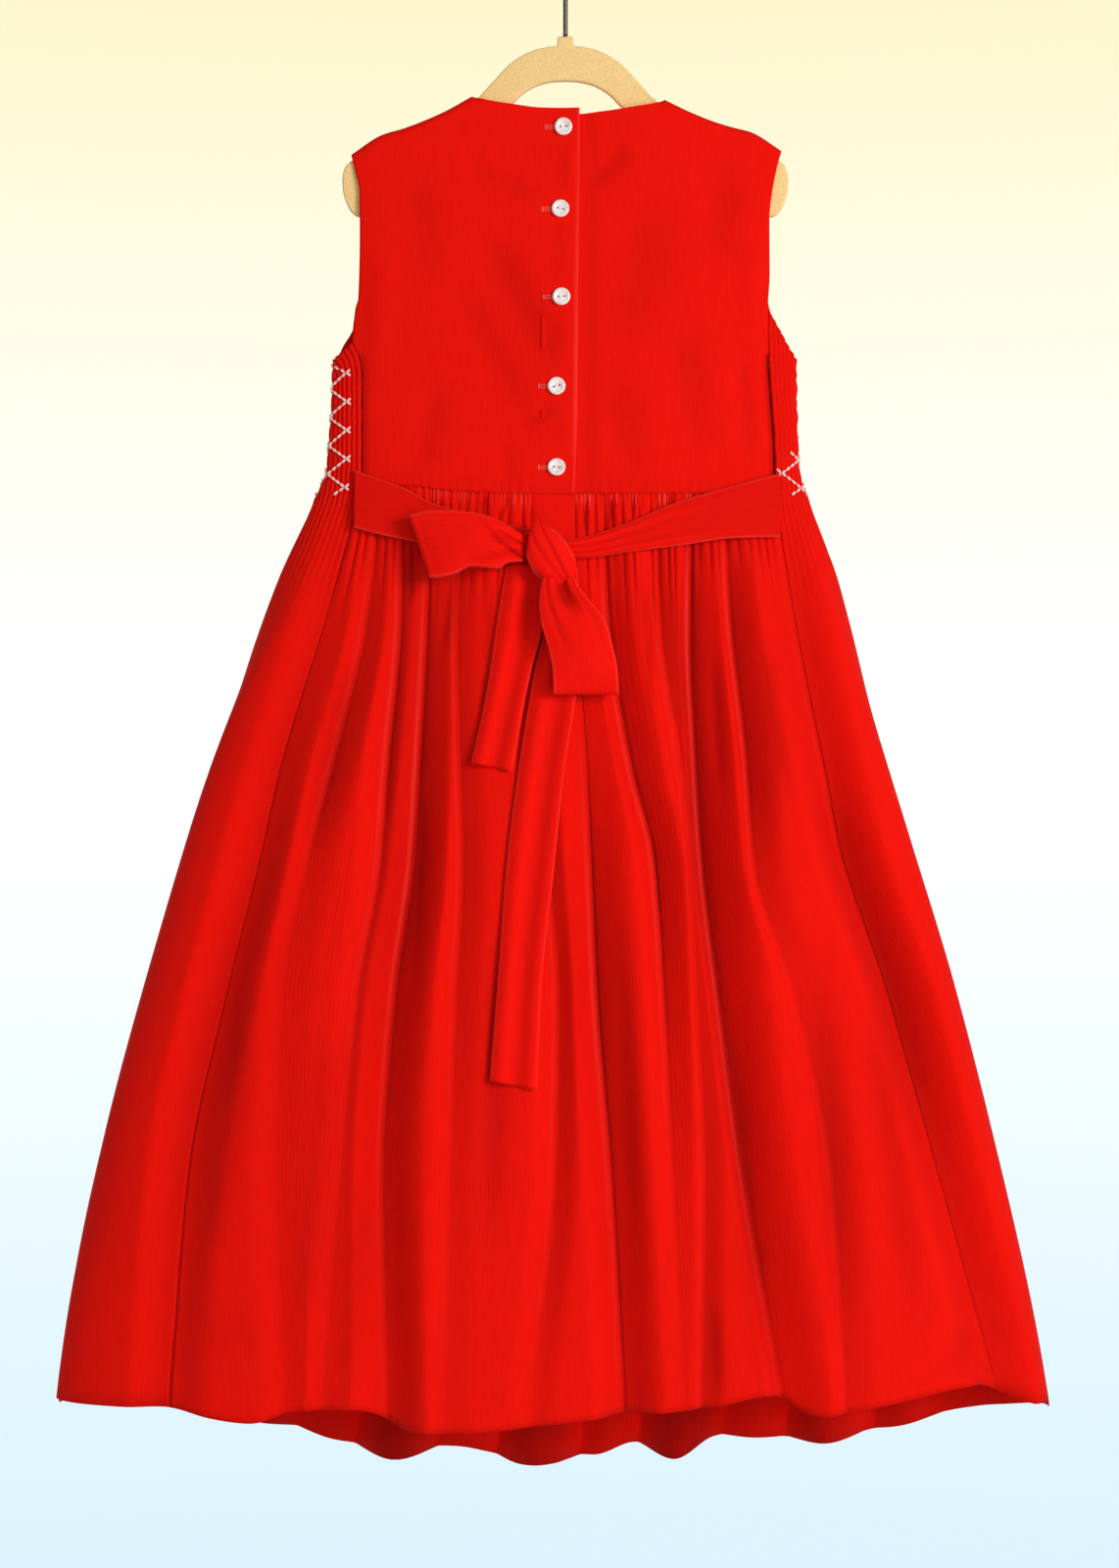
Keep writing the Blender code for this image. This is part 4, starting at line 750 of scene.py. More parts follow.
def front_yoke(finish):
    """The plain yoke with its round neckline."""
    middle = (NECK_LEFT.x + NECK_RIGHT.x) / 2
    half = (NECK_RIGHT.x - NECK_LEFT.x) / 2
    angles = np.radians(np.linspace(0, 180, YOKE_NECK_COLUMNS))
    high = NECK_LEFT.z + (NECK_RIGHT.z - NECK_LEFT.z) * angles / np.pi
    left_x = np.linspace(BACK_TOP_LEFT[0].x, NECK_LEFT.x, YOKE_SHOULDER_COLUMNS)[:-1]
    right_x = np.linspace(NECK_RIGHT.x, BACK_TOP_RIGHT[-1].x, YOKE_SHOULDER_COLUMNS)[1:]
    top_x = np.concatenate([left_x, middle - half * np.cos(angles), right_x])
    left_z = read(BACK_TOP_LEFT[: LEFT_NECK_ROW + 1], "z", "x", left_x)
    right_z = read(BACK_TOP_RIGHT[RIGHT_NECK_ROW:], "z", "x", right_x)
    top_z = np.concatenate([left_z, high - NECKLINE_DROP * np.sin(angles), right_z])
    shares = np.linspace(0, 1, len(top_x))
    levels = panel_rows(top_z.max() - YOKE_SEAM_Z)
    x, depth, z, deep = panel_grid(
        shares, top_x, top_z, levels, YOKE_SIDE_LEFT, YOKE_SIDE_RIGHT, yoke_line, FRONT, YOKE_CREASES
    )
    points = np.stack([x, depth, z], axis=2)[:, ::-1]
    grain = np.stack([x, z], axis=2)[:, ::-1]
    piece = cloth_piece("yoke", points, grain, CLOTH_THICK, finish, deep[:, ::-1])
    place(piece, "corduroy", "front_yoke")


def trough_side(distance, reach):
    """How deep a trough still is at a distance from its bottom: 1 there, 0 from its reach on."""
    return 0.5 + 0.5 * np.cos(np.pi * np.clip(distance / reach, 0, 1))


def gather_columns(gathers, per_gather, draw):
    """For each column: its cell, its share across it, its place across its gather and the gather's number.

    Gathers are of uneven width, as fingers and thread leave them.
    """
    cells = []
    shares = []
    phases = []
    numbers = []
    number = 0
    for cell, count in enumerate(gathers):
        if count:
            stray = draw.uniform(-GATHER_UNEVEN, GATHER_UNEVEN, count - 1)
            bounds = (np.arange(count + 1) + np.pad(stray, 1)) / count
        else:
            bounds = np.array([0, 1])
        columns = per_gather if count else FLAT_COLUMNS
        for low, high in zip(bounds, bounds[1:]):
            phase = np.arange(columns) / columns
            cells += [cell] * columns
            shares += list(low + (high - low) * phase)
            phases += list(phase if count else 0.5 + 0 * phase)
            numbers += [number] * columns
            number += 1
    cells.append(len(gathers) - 1)
    shares.append(1.0)
    phases.append(phases[-1] if not gathers[-1] else 1.0)
    numbers.append(number - 1)
    return np.array(cells), np.array(shares), np.array(phases), np.array(numbers)


def soft_most(depths):
    """The deepest of several depths at each place, with the ridge between two of them rounded."""
    return sum(depth**RIDGE_ROUND for depth in depths) ** (1 / RIDGE_ROUND)


def crisp_folds(x, z, places, troughs):
    """How near each place is to the line at a fold's bottom and to the crest beside it, from 0 to 1: the line
    is pressed in and painted in shade, the crest raised and painted as a highlight.
    """
    line = np.zeros_like(x)
    crest = np.zeros_like(x)
    for spot, trough in zip(places, troughs):
        strength = smooth(TROUGH_Z, TROUGH_CRISP[trough.name], z)
        off = x - spot
        fade = np.exp(-np.abs(off) / np.where(off < 0, FOLD_LINE[0], FOLD_LINE[1]))
        line = np.maximum(line, strength * fade)
        crest = np.maximum(crest, strength * np.exp(-(((off + FOLD_CREST[0]) / FOLD_CREST[1]) ** 2)))
    return line, crest


def back_skirt_grid(troughs, gathers, creases, draw):
    """Points of one half of the back skirt, from the waist down to the hem, with its painted shade and the
    painted highlights on its crests.
    """
    cells, shares, phases, numbers = gather_columns(gathers, COLUMNS_A_GATHER, draw)
    near = np.linspace(0, *SKIRT_NEAR)
    levels = np.concatenate([near, np.linspace(SKIRT_NEAR[0], 1, SKIRT_ROWS)[1:]])[:, None]
    z = WAIST[0].z + (BACK_HEM[0].z - WAIST[0].z) * levels + np.zeros(len(cells))
    column = np.arange(len(cells))
    for _ in range(SETTLE):
        places = np.array([smooth(TROUGH_Z, trough.across, z) for trough in troughs])
        x = places[cells, :, column].T * (1 - shares) + places[cells + 1, :, column].T * shares
        z = read(WAIST, "z", "x", x) * (1 - levels) + read(BACK_HEM, "z", "x", x) * levels
    depths = []
    for spot, trough in zip(places, troughs):
        reach = np.where(x < spot, trough.left_reach, trough.right_reach)
        depths.append(smooth(TROUGH_Z, trough.depth, z) * trough_side(np.abs(x - spot), reach))
    drop = soft_most(depths)
    below = read(WAIST, "z", "x", x) - z
    crest = np.abs(np.sin(np.pi * phases)) ** GATHER_ROUND
    deep = draw.uniform(*GATHER_DEPTHS, numbers[-1] + 1)[numbers]
    long = draw.uniform(*GATHER_LENGTHS, numbers[-1] + 1)[numbers]
    gathered = np.array(gathers)[cells] > 0
    rising = GATHER_AT_SEAM + (1 - GATHER_AT_SEAM) * ramp(below, *GATHER_RISES)
    height = GATHER_HEIGHT * gathered * rising * (1 - ramp(below, GATHER_FADES_FROM, long))
    pressed = crumple(x, z, creases)
    fading = (1 - ramp(below, RIPPLE_FADE_FROM, long / 4)) * gathered
    ripple = RIPPLE_HEIGHT * np.sin(4 * np.pi * phases + 2 * numbers) * fading
    line, edge = crisp_folds(x, z, places, troughs)
    wave = height * (crest * (1 + deep) - deep) + ripple - drop - pressed
    wave += FOLD_CREST_HIGH * edge - FOLD_BITE * line**2
    above_hem = z - read(BACK_HEM, "z", "x", x)
    wave += HEM_STEP * (1 - ramp(above_hem, HEM_DEPTH - HEM_STEP_HALF, HEM_DEPTH + HEM_STEP_HALF))
    stand = outline_depth(x, z, BACK)
    slope = outline_depth(x + 0.5, z, BACK) - outline_depth(x - 0.5, z, BACK)
    length = np.sqrt(1 + slope**2)
    points = np.stack([x - wave * slope / length, -stand - wave / length, z], axis=2)
    points[:, 0, 0] += SEAM_EDGE
    points[:, -1, 0] -= SEAM_EDGE
    points[0, :, 2] -= WAIST_CLEAR
    # Painted shade: in the troughs and creases, between the gathers and along each fold's line
    between = (1 - crest) * height / GATHER_HEIGHT
    valley = (drop / SHADE_DEPTH) ** SHADE_CURVE + pressed / PRESSED_SHADE_DEPTH
    valley += GATHER_SHADE * between + LINE_SHADE * line
    strong = draw.uniform(0, 1, numbers[-1] + 1)[numbers]
    streak = np.clip(ripple / RIPPLE_HEIGHT, 0, 1) ** STREAK_FINE * strong**2
    fading = (1 - ramp(below, STREAK_FADES_FROM, long / 5)) * gathered
    # Painted highlight on the crests beside folds and on the fine streaks at the seam
    worn = CREST_HIGHLIGHT * edge**2 + STREAK_HIGHLIGHT * streak * fading
    return points, valley, worn


def hang_grain(points):
    """Grain of a gathered sheet: across as the open hem lies, down along the cloth."""
    across = cloth_length(points[-1:], 1)
    down = cloth_length(points, 0)
    return np.stack([np.broadcast_to(across, down.shape), down], axis=2)


def back_skirt(finish):
    """The two halves of the back skirt, gathered to the waist and joined by the centre-back seam."""
    left = (LEFT_TROUGHS, LEFT_GATHERS, LEFT_SKIRT_CREASES, LEFT_SKIRT_CUT)
    right = (RIGHT_TROUGHS, RIGHT_GATHERS, RIGHT_SKIRT_CREASES, RIGHT_SKIRT_CUT)
    for name, node, (troughs, gathers, creases, cut) in (
        ("skirt_left", "skirt_back_left", left),
        ("skirt_right", "skirt_back_right", right),
    ):
        draw = np.random.default_rng(WEAVE_SEED + len(gathers))
        points, valley, streaks = back_skirt_grid(troughs, gathers, creases, draw)
        grain = hang_grain(points)
        piece = cloth_piece(name, points[::-1], grain[::-1], CLOTH_THICK, finish, valley[::-1], streaks[::-1])
        place(piece, "corduroy", node)


def side_seam_x(side, z):
    """Where the front piece meets the back at the left or the right, on the bodice and the skirt."""
    bodice = BACK_SIDE_LEFT if side < 0 else BACK_SIDE_RIGHT
    trough = LEFT_TROUGHS[0] if side < 0 else RIGHT_TROUGHS[-1]
    low = smooth(TROUGH_Z, trough.across, z)
    return np.where(z > TROUGH_Z[0], read(bodice, "x", "z", z), low)


def front_turns(z, spread, opened):
    """The turn of each column of the front piece, and how far along its row the column lies."""
    first = back_turn(side_seam_x(-1, z[0]), z[0])
    last = back_turn(side_seam_x(1, z[-1]), z[-1]) - 2 * math.pi
    middle = z[len(z) // 2]
    turns = np.linspace(first, last, RING_POINTS)
    ring = np.stack(outline_point(turns, middle), axis=1)
    along = np.concatenate([[0], np.cumsum(np.linalg.norm(np.diff(ring, axis=0), axis=1))])
    share = spread + (opened - spread) * ramp(-middle, -FOLDS_OPEN_Z[0], -FOLDS_OPEN_Z[1])
    return np.interp(share * along[-1], along, turns), share * along[-1]


def front_heights(turn, z, smocked, row):
    """Heights of a row of the front piece: its strips behind the arms reach up the back's side seams."""
    x, y = outline_point(turn, z)
    behind = np.where(y < 0, np.abs(np.sin(turn)), 0)
    strip = np.where(x < 0, SMOCK_STRIP_TOP[0], SMOCK_STRIP_TOP[1])
    rise = (behind / np.where(x < 0, behind[0], behind[-1])) ** 2
    top = YOKE_SEAM_Z - SEAM_GAP + (strip - YOKE_SEAM_Z) * rise
    hem = np.where(y < 0, read(BACK_HEM, "z", "x", x), read(FRONT_HEM, "z", "x", x))
    return top + (SMOCK_END_Z - top) * row if smocked else SMOCK_END_Z + (hem - SMOCK_END_Z) * row


def outline_normal(turn, z):
    """Unit vectors that point straight out of the plain outline."""
    step = 0.01
    ahead = np.stack(outline_point(turn - step, z), axis=1)
    tangent = ahead - np.stack(outline_point(turn + step, z), axis=1)
    tangent /= np.linalg.norm(tangent, axis=1, keepdims=True)
    return np.stack([-tangent[:, 1], tangent[:, 0], np.zeros(len(turn))], axis=1)


def smocking(z, shares, crest):
    """How far the smocked pleats stand out: less along the crossing lines of stitches, more between."""
    line = np.abs((z - YOKE_SEAM_Z) / SMOCK_DIAMOND_HEIGHT % 1 - 0.5) * 2
    side = np.abs((shares + STITCH_SHIFT) % 1 - 0.5) * 2
    off_line = np.clip(np.abs(line - side) * SMOCK_PUFF_SLOPE, 0, 1)
    return SMOCK_PUFF * off_line + PLEAT_HEIGHT * (2 * crest - 1)


def front_folds(z, measure, shares, crest):
    """How far the skirt's cloth stands out below the smocking: its pleats fade and its folds deepen."""
    middle = -z[len(z) // 2]
    low = ramp(middle, *FOLDS_DEEPEN)
    begin = ramp(middle, -SMOCK_END_Z, FOLDS_DEEPEN[0])
    inner = FRONT_FOLDS[:-1]
    depths = [begin * (fold.depth_high + (fold.depth_low - fold.depth_high) * low) for fold in inner]
    depths.insert(0, float(smooth(TROUGH_Z, LEFT_TROUGHS[0].depth, z[0])))
    depths.append(float(smooth(TROUGH_Z, RIGHT_TROUGHS[-1].depth, z[-1])))
    reaches = [LEFT_TROUGHS[0].left_reach] + [fold.reach for fold in inner]
    reaches.append(RIGHT_TROUGHS[-1].right_reach)
    places = measure[shares % 1 == 0]
    troughs = [
        depth * trough_side(np.abs(measure - place), reach) ** (1 - FOLDS_SQUARE * low)
        for place, depth, reach in zip(places, depths, reaches)
    ]
    drop = soft_most(troughs)
    pleat = SPREAD_PLEAT_HEIGHT * (1 - ramp(-z, -SMOCK_END_Z, -PLEAT_END_Z))
    return pleat * (2 * crest - 1) - drop, drop


def front_grid():
    """Points of the smocked front from the yoke seam to the hem, places across in cells, and the shade
    painted in its pleats and folds.
    """
    count = PLEATS_PER_CELL * COLUMNS_A_PLEAT
    cells = np.repeat(np.arange(len(FRONT_FOLDS)), count)
    shares = np.tile(np.arange(count) / count, len(FRONT_FOLDS))
    cells = np.append(cells, len(FRONT_FOLDS) - 1)
    shares = np.append(shares, 1.0)
    crest = np.abs(np.sin(np.pi * PLEATS_PER_CELL * shares)) ** GATHER_ROUND
    spread = (cells + shares) / len(FRONT_FOLDS)
    widths = np.array([fold.width for fold in FRONT_FOLDS], float)
    bounds = np.concatenate([[0], np.cumsum(widths)]) / widths.sum()
    opened = bounds[cells] * (1 - shares) + bounds[cells + 1] * shares
    levels = [(True, row) for row in np.linspace(0, 1, FRONT_SMOCK_ROWS)]
    levels += [(False, row) for row in np.linspace(0, 1, FRONT_FINE_ROWS)[1:] ** FRONT_ROWS_CLOSER]
    points = []
    valleys = []
    for smocked, row in levels:
        z = np.full(len(cells), YOKE_SEAM_Z)
        for _ in range(SETTLE):
            turn, measure = front_turns(z, spread, opened)
            z = front_heights(turn, z, smocked, row)
        x, y = outline_point(turn, z)
        # Shade is painted between the smocked pleats, and below them down in the folds and between the fading
        # pleats
        if smocked:
            wave = smocking(z, shares, crest)
            valley = PLEAT_SHADE * (1 - crest)
        else:
            wave, drop = front_folds(z, measure, shares, crest)
            pleated = 1 - ramp(-z, -SMOCK_END_Z, -PLEAT_END_Z)
            valley = (drop / FOLD_SHADE_DEPTH) ** SHADE_CURVE + PLEAT_SHADE * (1 - crest) * pleated
        points.append(np.stack([x, y, z], axis=1) + outline_normal(turn, z) * wave[:, None])
        valleys.append(valley)
    points = np.array(points)
    points[:, 0, 0] -= SEAM_EDGE
    points[:, -1, 0] += SEAM_EDGE
    return points, spread * len(FRONT_FOLDS), np.array(valleys)


def smocked_front(finish):
    """The front in one piece: pleats drawn up by the smocking, let out below into the folds of the skirt."""
    points, spread, valley = front_grid()
    grain = hang_grain(points)
    piece = cloth_piece("smocked_skirt_front", points, grain, SMOCKED_THICK, finish, valley)
    place(piece, "corduroy", "smocked_front")


def over_back(x, z, stand_off):
    """How far in front of the hanger's plane a piece lies that is laid over the back's crests."""
    gather = GATHER_HEIGHT * (1 - ramp(-z, -WAIST[0].z, -GATHER_END_Z))
    return outline_depth(x, z, BACK) + gather + stand_off


def edge_highlight(share):
    """How much pale pink highlight is painted near the two long edges of the sash."""
    return EDGE_HIGHLIGHT * (1 - ramp(np.minimum(share, 1 - share), 0, EDGE_HIGHLIGHT_WIDTH))


def sash_grain(across, down):
    """Grain of a stretch of the sash, from the share across it and the distance down it."""
    return np.stack(np.broadcast_arrays(across * TIE_WIDTH, down), axis=2)


def sash_ties(finish):
    """The two ties, sewn into the side seams and drawn to the knot in lengthwise folds."""
    for name, node, table, folds, length in (
        ("tie_left", "sash_tie_left", LEFT_TIE, LEFT_TIE_FOLDS, TIE_LENGTHS[0]),
        ("tie_right", "sash_tie_right", RIGHT_TIE, RIGHT_TIE_FOLDS, TIE_LENGTHS[1]),
    ):
        along = np.linspace(0, 1, TIE_LENGTH_STEPS)
        down = np.linspace(0, 1, TIE_WIDTH_STEPS)[:, None]
        x = table[0].x + (table[-1].x - table[0].x) * along + 0 * down
        high = read(table, "high", "x", x)
        low = read(table, "low", "x", x)
        z = high + (low - high) * down
        fold = np.zeros_like(x)
        for line in folds:
            place_down = line.start + (line.end - line.start) * along
            rise = line.high * ramp(along, line.begins, 1)
            fold += rise * np.exp(-(((down - place_down) / line.width) ** 2))
        fold = np.minimum(fold, 2 * TIE_FOLD + TIE_FOLD_SLACK)
        stand = CLOTH_OVER + TIE_CLEAR * (1 - along) + fold
        points = np.stack([x, -over_back(x, z, stand), z], axis=2)
        grain = sash_grain(down, np.abs(x - table[0].x))
        # Painted shade, darkest between the tie's folds
        valley = TIE_SHADE - fold / 4
        order = -1 if name == "tie_left" else 1
        piece = cloth_piece(
            name, points[::order], grain[::order], SASH_THICK, finish, valley[::order], edge_highlight(down)
        )
        place(piece, "sash", node)


def loop_path(swell):
    """Shares along a loop, stands in depth and reaches past its end: out in front, round, and back."""
    out = np.linspace(0, 1, LOOP_STEPS)
    bend = np.linspace(0, np.pi, LOOP_BEND_STEPS)[1:-1]
    share = np.concatenate([out, np.ones(len(bend)), out[::-1]])
    front = LOOP_TURN + swell * np.sin(np.pi * out) ** LOOP_FULLNESS
    stand = np.concatenate([front, LOOP_TURN * np.cos(bend), np.full(len(out), -LOOP_TURN)])
    beyond = np.concatenate([0 * out, LOOP_TURN * np.sin(bend), 0 * out])
    return share, stand, beyond


def loop_creases(share, down, creases):
    """How far the folds that run out from the knot press into a loop."""
    total = 0 * share * down
    for crease in creases:
        middle = crease.start + (crease.end - crease.start) * share / crease.ends
        fade = 1 - ramp(share, 0.5 * crease.ends, crease.ends)
        total = total + crease.depth * np.exp(-(((down - middle) / crease.width) ** 2)) * fade
    return total


def loop_form(share, stand, across, form, creases):
    """How far a loop's cloth stands out, puffed and fanned out from the knot, and the shade painted in its
    waves and creases.
    """
    in_front = stand > 0
    belly = (form.edge + (1 - form.edge) * np.sin(np.pi * across)) ** LOOP_BELLY_ROUND
    fading = (1 - ramp(share, form.fades, form.flat)) * ramp(share, 0, LOOP_FAN_BEGINS)
    fan = LOOP_FAN * np.cos(2 * np.pi * form.waves * across + form.phase) * fading
    pressed = loop_creases(share, across, creases) * in_front
    rise = np.where(in_front, LOOP_TURN + (stand - LOOP_TURN) * belly - fan - pressed, stand)
    # Painted shade in the loop's waves and creases
    return rise, LOOP_SHADE + fan / 5 + pressed / 4


def bow_loops(finish):
    """The two loops of the bow: the left one stands out sideways, the right one hangs from the knot."""
    share, stand, beyond = loop_path(LOOP_SWELL)
    across = np.linspace(0, 1, LOOP_WIDTH_STEPS)[:, None]
    grain = sash_grain(across, np.cumsum(np.abs(np.diff(share, prepend=0)))[None, :] * LOOP_GRAIN)
    over_ties = CLOTH_OVER + SOLID_SASH / 2 - LAY_GAP + 2 * TIE_FOLD + LOOP_STAND
    over_tails = CLOTH_OVER + SOLID_SASH / 2 - LAY_GAP + 2 * TAIL_FOLD + LOOP_STAND

    root = LEFT_LOOP[0].x
    end = LEFT_LOOP[-1].x + LOOP_TURN + LEFT_LOOP_LEAN * across
    x = root + (end - root) * share
    high = read(LEFT_LOOP, "high", "x", x)
    low = read(LEFT_LOOP, "low", "x", x)
    z = high + (low - high) * across
    rise, valley = loop_form(share, stand, across, LEFT_LOOP_FORM, LEFT_LOOP_CREASES)
    depth = over_back(root, z, over_ties) + rise
    points = np.stack([x - beyond, -depth, z], axis=2)
    piece = cloth_piece("loop_left", points, grain, SASH_THICK, finish, valley, edge_highlight(across))
    place(piece, "sash", "bow_loop_left")

    root = RIGHT_LOOP[0].z
    end = RIGHT_LOOP[-1].z + LOOP_TURN
    z = root + (end - root) * share + 0 * across
    left = read(RIGHT_LOOP, "left", "z", z - beyond)
    right = read(RIGHT_LOOP, "right", "z", z - beyond)
    x = left + (right - left) * across
    rise, valley = loop_form(share, stand, across, RIGHT_LOOP_FORM, RIGHT_LOOP_CREASES)
    depth = over_back(RIGHT_LOOP_MIDDLE_X, z, over_tails) + rise
    points = np.stack([x, -depth, z - beyond], axis=2)[::-1]
    piece = cloth_piece(
        "loop_right", points, grain[::-1], SASH_THICK, finish, valley[::-1], edge_highlight(across)
    )
    place(piece, "sash", "bow_loop_right")


def bow_tails(finish):
    """The two ends of the sash, hanging from behind the knot with a soft fold along each."""
    for name, node, table in (
        ("tail_short", "bow_tail_short", SHORT_TAIL),
        ("tail_long", "bow_tail_long", LONG_TAIL),
    ):
        length = table[0].z - table[-1].z
        level = np.linspace(0, 1, int(length / TAIL_STEP))[:, None]
        share = np.linspace(0, 1, TAIL_WIDTH_STEPS)
        z = table[0].z - length * level + 0 * share
        left = read(table, "left", "z", z)
        right = read(table, "right", "z", z)
        turn = TAIL_FOLDS * share + TAIL_FOLD_DRIFT * level
        fold = TAIL_FOLD * (1 - np.cos(2 * np.pi * turn))
        slope = -(share - 0.5) * (right - left) * TAIL_END_SLOPE * level
        x = left + (right - left) * share
        depth = over_back(x, z + slope, CLOTH_OVER + fold)
        points = np.stack([x, -depth, z + slope], axis=2)
        grain = sash_grain(share, length * level)
        # Painted shade between the tail's folds
        valley = TAIL_SHADE - fold / 8
        piece = cloth_piece(
            name, points[::-1], grain[::-1], SASH_THICK, finish, valley[::-1], edge_highlight(share)
        )
        place(piece, "sash", node)


def knot(finish):
    """The knot: a band of the sash wrapped round the loops on a slant, open where they come out."""
    x, z = KNOT_PLACE
    wrap = np.array([math.sin(KNOT_SLANT), 0, -math.cos(KNOT_SLANT)])
    axis = np.array([math.cos(KNOT_SLANT), 0, math.sin(KNOT_SLANT)])
    front = np.array([0, -1, 0])
    turn = np.linspace(0, 2 * math.pi, KNOT_TURNS)[None, :]
    share = np.linspace(-1, 1, KNOT_STEPS)[:, None]
    full = (1 - np.abs(share * KNOT_OPEN) ** KNOT_BARREL) ** 0.5
    crease = 0
    for line in KNOT_CREASES:
        off = share - line.start - (line.end - line.start) * (0.5 + 0.5 * np.cos(turn))
        crease = crease + line.high * np.exp(-((off / line.width) ** 2))
    along = np.sign(np.cos(turn)) * np.abs(np.cos(turn)) ** KNOT_ROUND * (KNOT_HALF[0] * full - crease)
    out = np.sin(turn) * (KNOT_HALF[1] * full - crease)
    high = np.clip(-np.cos(turn), 0, 1)
    low = np.clip(np.cos(turn), 0, 1)
    taper = 1 - KNOT_TAPER[0] * high ** KNOT_TAPER_CURVE[0] - KNOT_TAPER[1] * low ** KNOT_TAPER_CURVE[1]
    reach = share * KNOT_HALF[2] * taper + KNOT_TWIST * np.sin(turn * 2 + 1)
    behind = over_back(x, z, SOLID_CLOTH / 2 + SOLID_SASH + 2 * TAIL_FOLD + KNOT_GAPS * LAY_GAP)
    centre = np.array([x, -behind - KNOT_HALF[1], z])
    points = centre + along[..., None] * wrap + out[..., None] * front + reach[..., None] * axis
    grain = sash_grain((share + 1) / 2, turn * KNOT_HALF[0])
    # A painted highlight, doubled, at the band's edges, and painted shade in its creases
    worn = 2 * edge_highlight((share + 1) / 2)
    piece = cloth_piece("knot_wrap", points, grain, SASH_THICK, finish, crease / KNOT_SHADE_DEPTH, worn)
    place(piece, "sash", "bow_knot")


def bead_mesh(sides, rings):
    """Corners and faces of a smooth bead, one unit long and one across, along X."""
    shape = bmesh.new()
    bmesh.ops.create_uvsphere(shape, u_segments=sides, v_segments=rings, radius=0.5)
    bmesh.ops.rotate(shape, verts=shape.verts, cent=(0, 0, 0), matrix=Matrix.Rotation(math.pi / 2, 3, "Y"))
    shape.verts.index_update()
    corners = np.array([corner.co[:] for corner in shape.verts])
    corners[:, 0] = np.sign(corners[:, 0]) * np.abs(2 * corners[:, 0]) ** BEAD_ROUND / 2
    faces = [[corner.index for corner in face.verts] for face in shape.faces]
    shape.free()
    return corners, faces


def beads(name, ends, thickness, outs, finish, sides=BEAD_SIDES, rings=BEAD_RINGS):
    """One mesh of many short threads, each between two ends in mm, on a surface whose normals are outs."""
    corners, faces = bead_mesh(sides, rings)
    starts, stops = np.asarray(ends, float).transpose(1, 0, 2)
    along = stops - starts
    lengths = np.linalg.norm(along, axis=1)[:, None]
    along = along / lengths
    across = np.cross(outs, along)
    across /= np.linalg.norm(across, axis=1)[:, None]
    up = np.cross(along, across)
    middle = (starts + stops) / 2
    sizes = np.concatenate([lengths, np.full((len(lengths), 2), thickness)], 1)
    local = corners[None] * sizes[:, None]
    points = middle[:, None] + local[..., :1] * along[:, None] + local[..., 1:2] * across[:, None]
    points = points + local[..., 2:] * up[:, None]
    count = len(corners)
    every = [[corner + count * number for corner in face] for number in range(len(points)) for face in faces]
    mesh = bpy.data.meshes.new(name)
    mesh.from_pydata((points.reshape(-1, 3) * MM).tolist(), [], every)
    mesh.shade_smooth()
    return link(name, mesh, finish)


def smocking_stitches(finish):
    """The embroidery that holds the pleats: strands that cross in diamonds, one stitch to each pleat."""
    points, spread, _ = front_grid()
    ends = []
    outs = []
    count = PLEATS_PER_CELL * COLUMNS_A_PLEAT
    half_pleat = COLUMNS_A_PLEAT // 2
    crests = np.arange(half_pleat, len(FRONT_FOLDS) * count, COLUMNS_A_PLEAT)
    crests = crests[spread[crests] > STITCHED_FROM]
    low_to_high = np.array(STITCHED_TO)[::-1]
    levels = points[:FRONT_SMOCK_ROWS]
    slant = SMOCK_DIAMOND_HEIGHT / PLEATS_PER_CELL
    for column in crests:
        share = (spread[column] + STITCH_SHIFT) % 1
        side = abs(share - 0.5) * 2
        rising = 1 if share < 0.5 else -1
        line = levels[::-1, column]
        beside = levels[::-1, column + 1] - levels[::-1, column - 1]
        pitch = np.linalg.norm((levels[0, column + half_pleat] - levels[0, column - half_pleat])[:2])
        for row in range(*STITCH_ROWS):
            for sense in (-1, 1):
                z = YOKE_SEAM_Z - SMOCK_DIAMOND_HEIGHT * (row + (1 + sense * side) / 2)
                if not line[0, 2] + STITCH_INSET < z < line[-1, 2] - STITCH_INSET:
                    continue
                if spread[column] > np.interp(z, low_to_high[:, 0], low_to_high[:, 1]):
                    continue
                at = np.array([np.interp(z, line[:, 2], line[:, axis]) for axis in range(3)])
                run = np.array([np.interp(z, line[:, 2], beside[:, axis]) for axis in range(3)])
                run[2] = 0
                run /= np.linalg.norm(run)
                out = np.array([-run[1], run[0], 0])
                half = (run * pitch + np.array([0, 0, 1]) * slant * sense * rising) * STITCH_LENGTH
                at = at + out * (SMOCKED_THICK / 2 + STITCH_THICK * STITCH_RISE)
                ends.append((at - half, at + half))
                outs.append(out)
    piece = beads("smocking_stitches", ends, STITCH_THICK, np.array(outs), finish)
    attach(piece, BODY)


def lap_point(x, z, stand):
    """A point that stands off the back bodice."""
    return np.array([x, -float(outline_depth(x, z, BACK)) - stand, z])


def buttonholes(finish):
    """A worked buttonhole under each button: close stitches round a slit, and a bar at its end."""
    ends = []
    stand = CLOTH_THICK / 2 + STITCH_LIFT
    for mark in BUTTONS:
        slit = np.linspace(mark.x - BUTTONHOLE_REACH, mark.x + 2, BUTTONHOLE_STITCHES)
        for x in slit:
            for side in (-1, 1):
                near = lap_point(x, mark.z + side * SLIT_HALF, stand)
                ends.append((near, lap_point(x, mark.z + side * STITCH_HALF, stand)))
        for beyond in BAR_PLACES:
            low = lap_point(slit[0] - beyond, mark.z - BAR_HALF, stand + STITCH_LIFT)
            ends.append((low, lap_point(slit[0] - beyond, mark.z + BAR_HALF, stand + STITCH_LIFT)))
    outs = np.tile([0, -1, 0], (len(ends), 1))
    piece = beads("buttonholes", ends, BUTTONHOLE_THREAD, outs, finish)
    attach(piece, BODY)


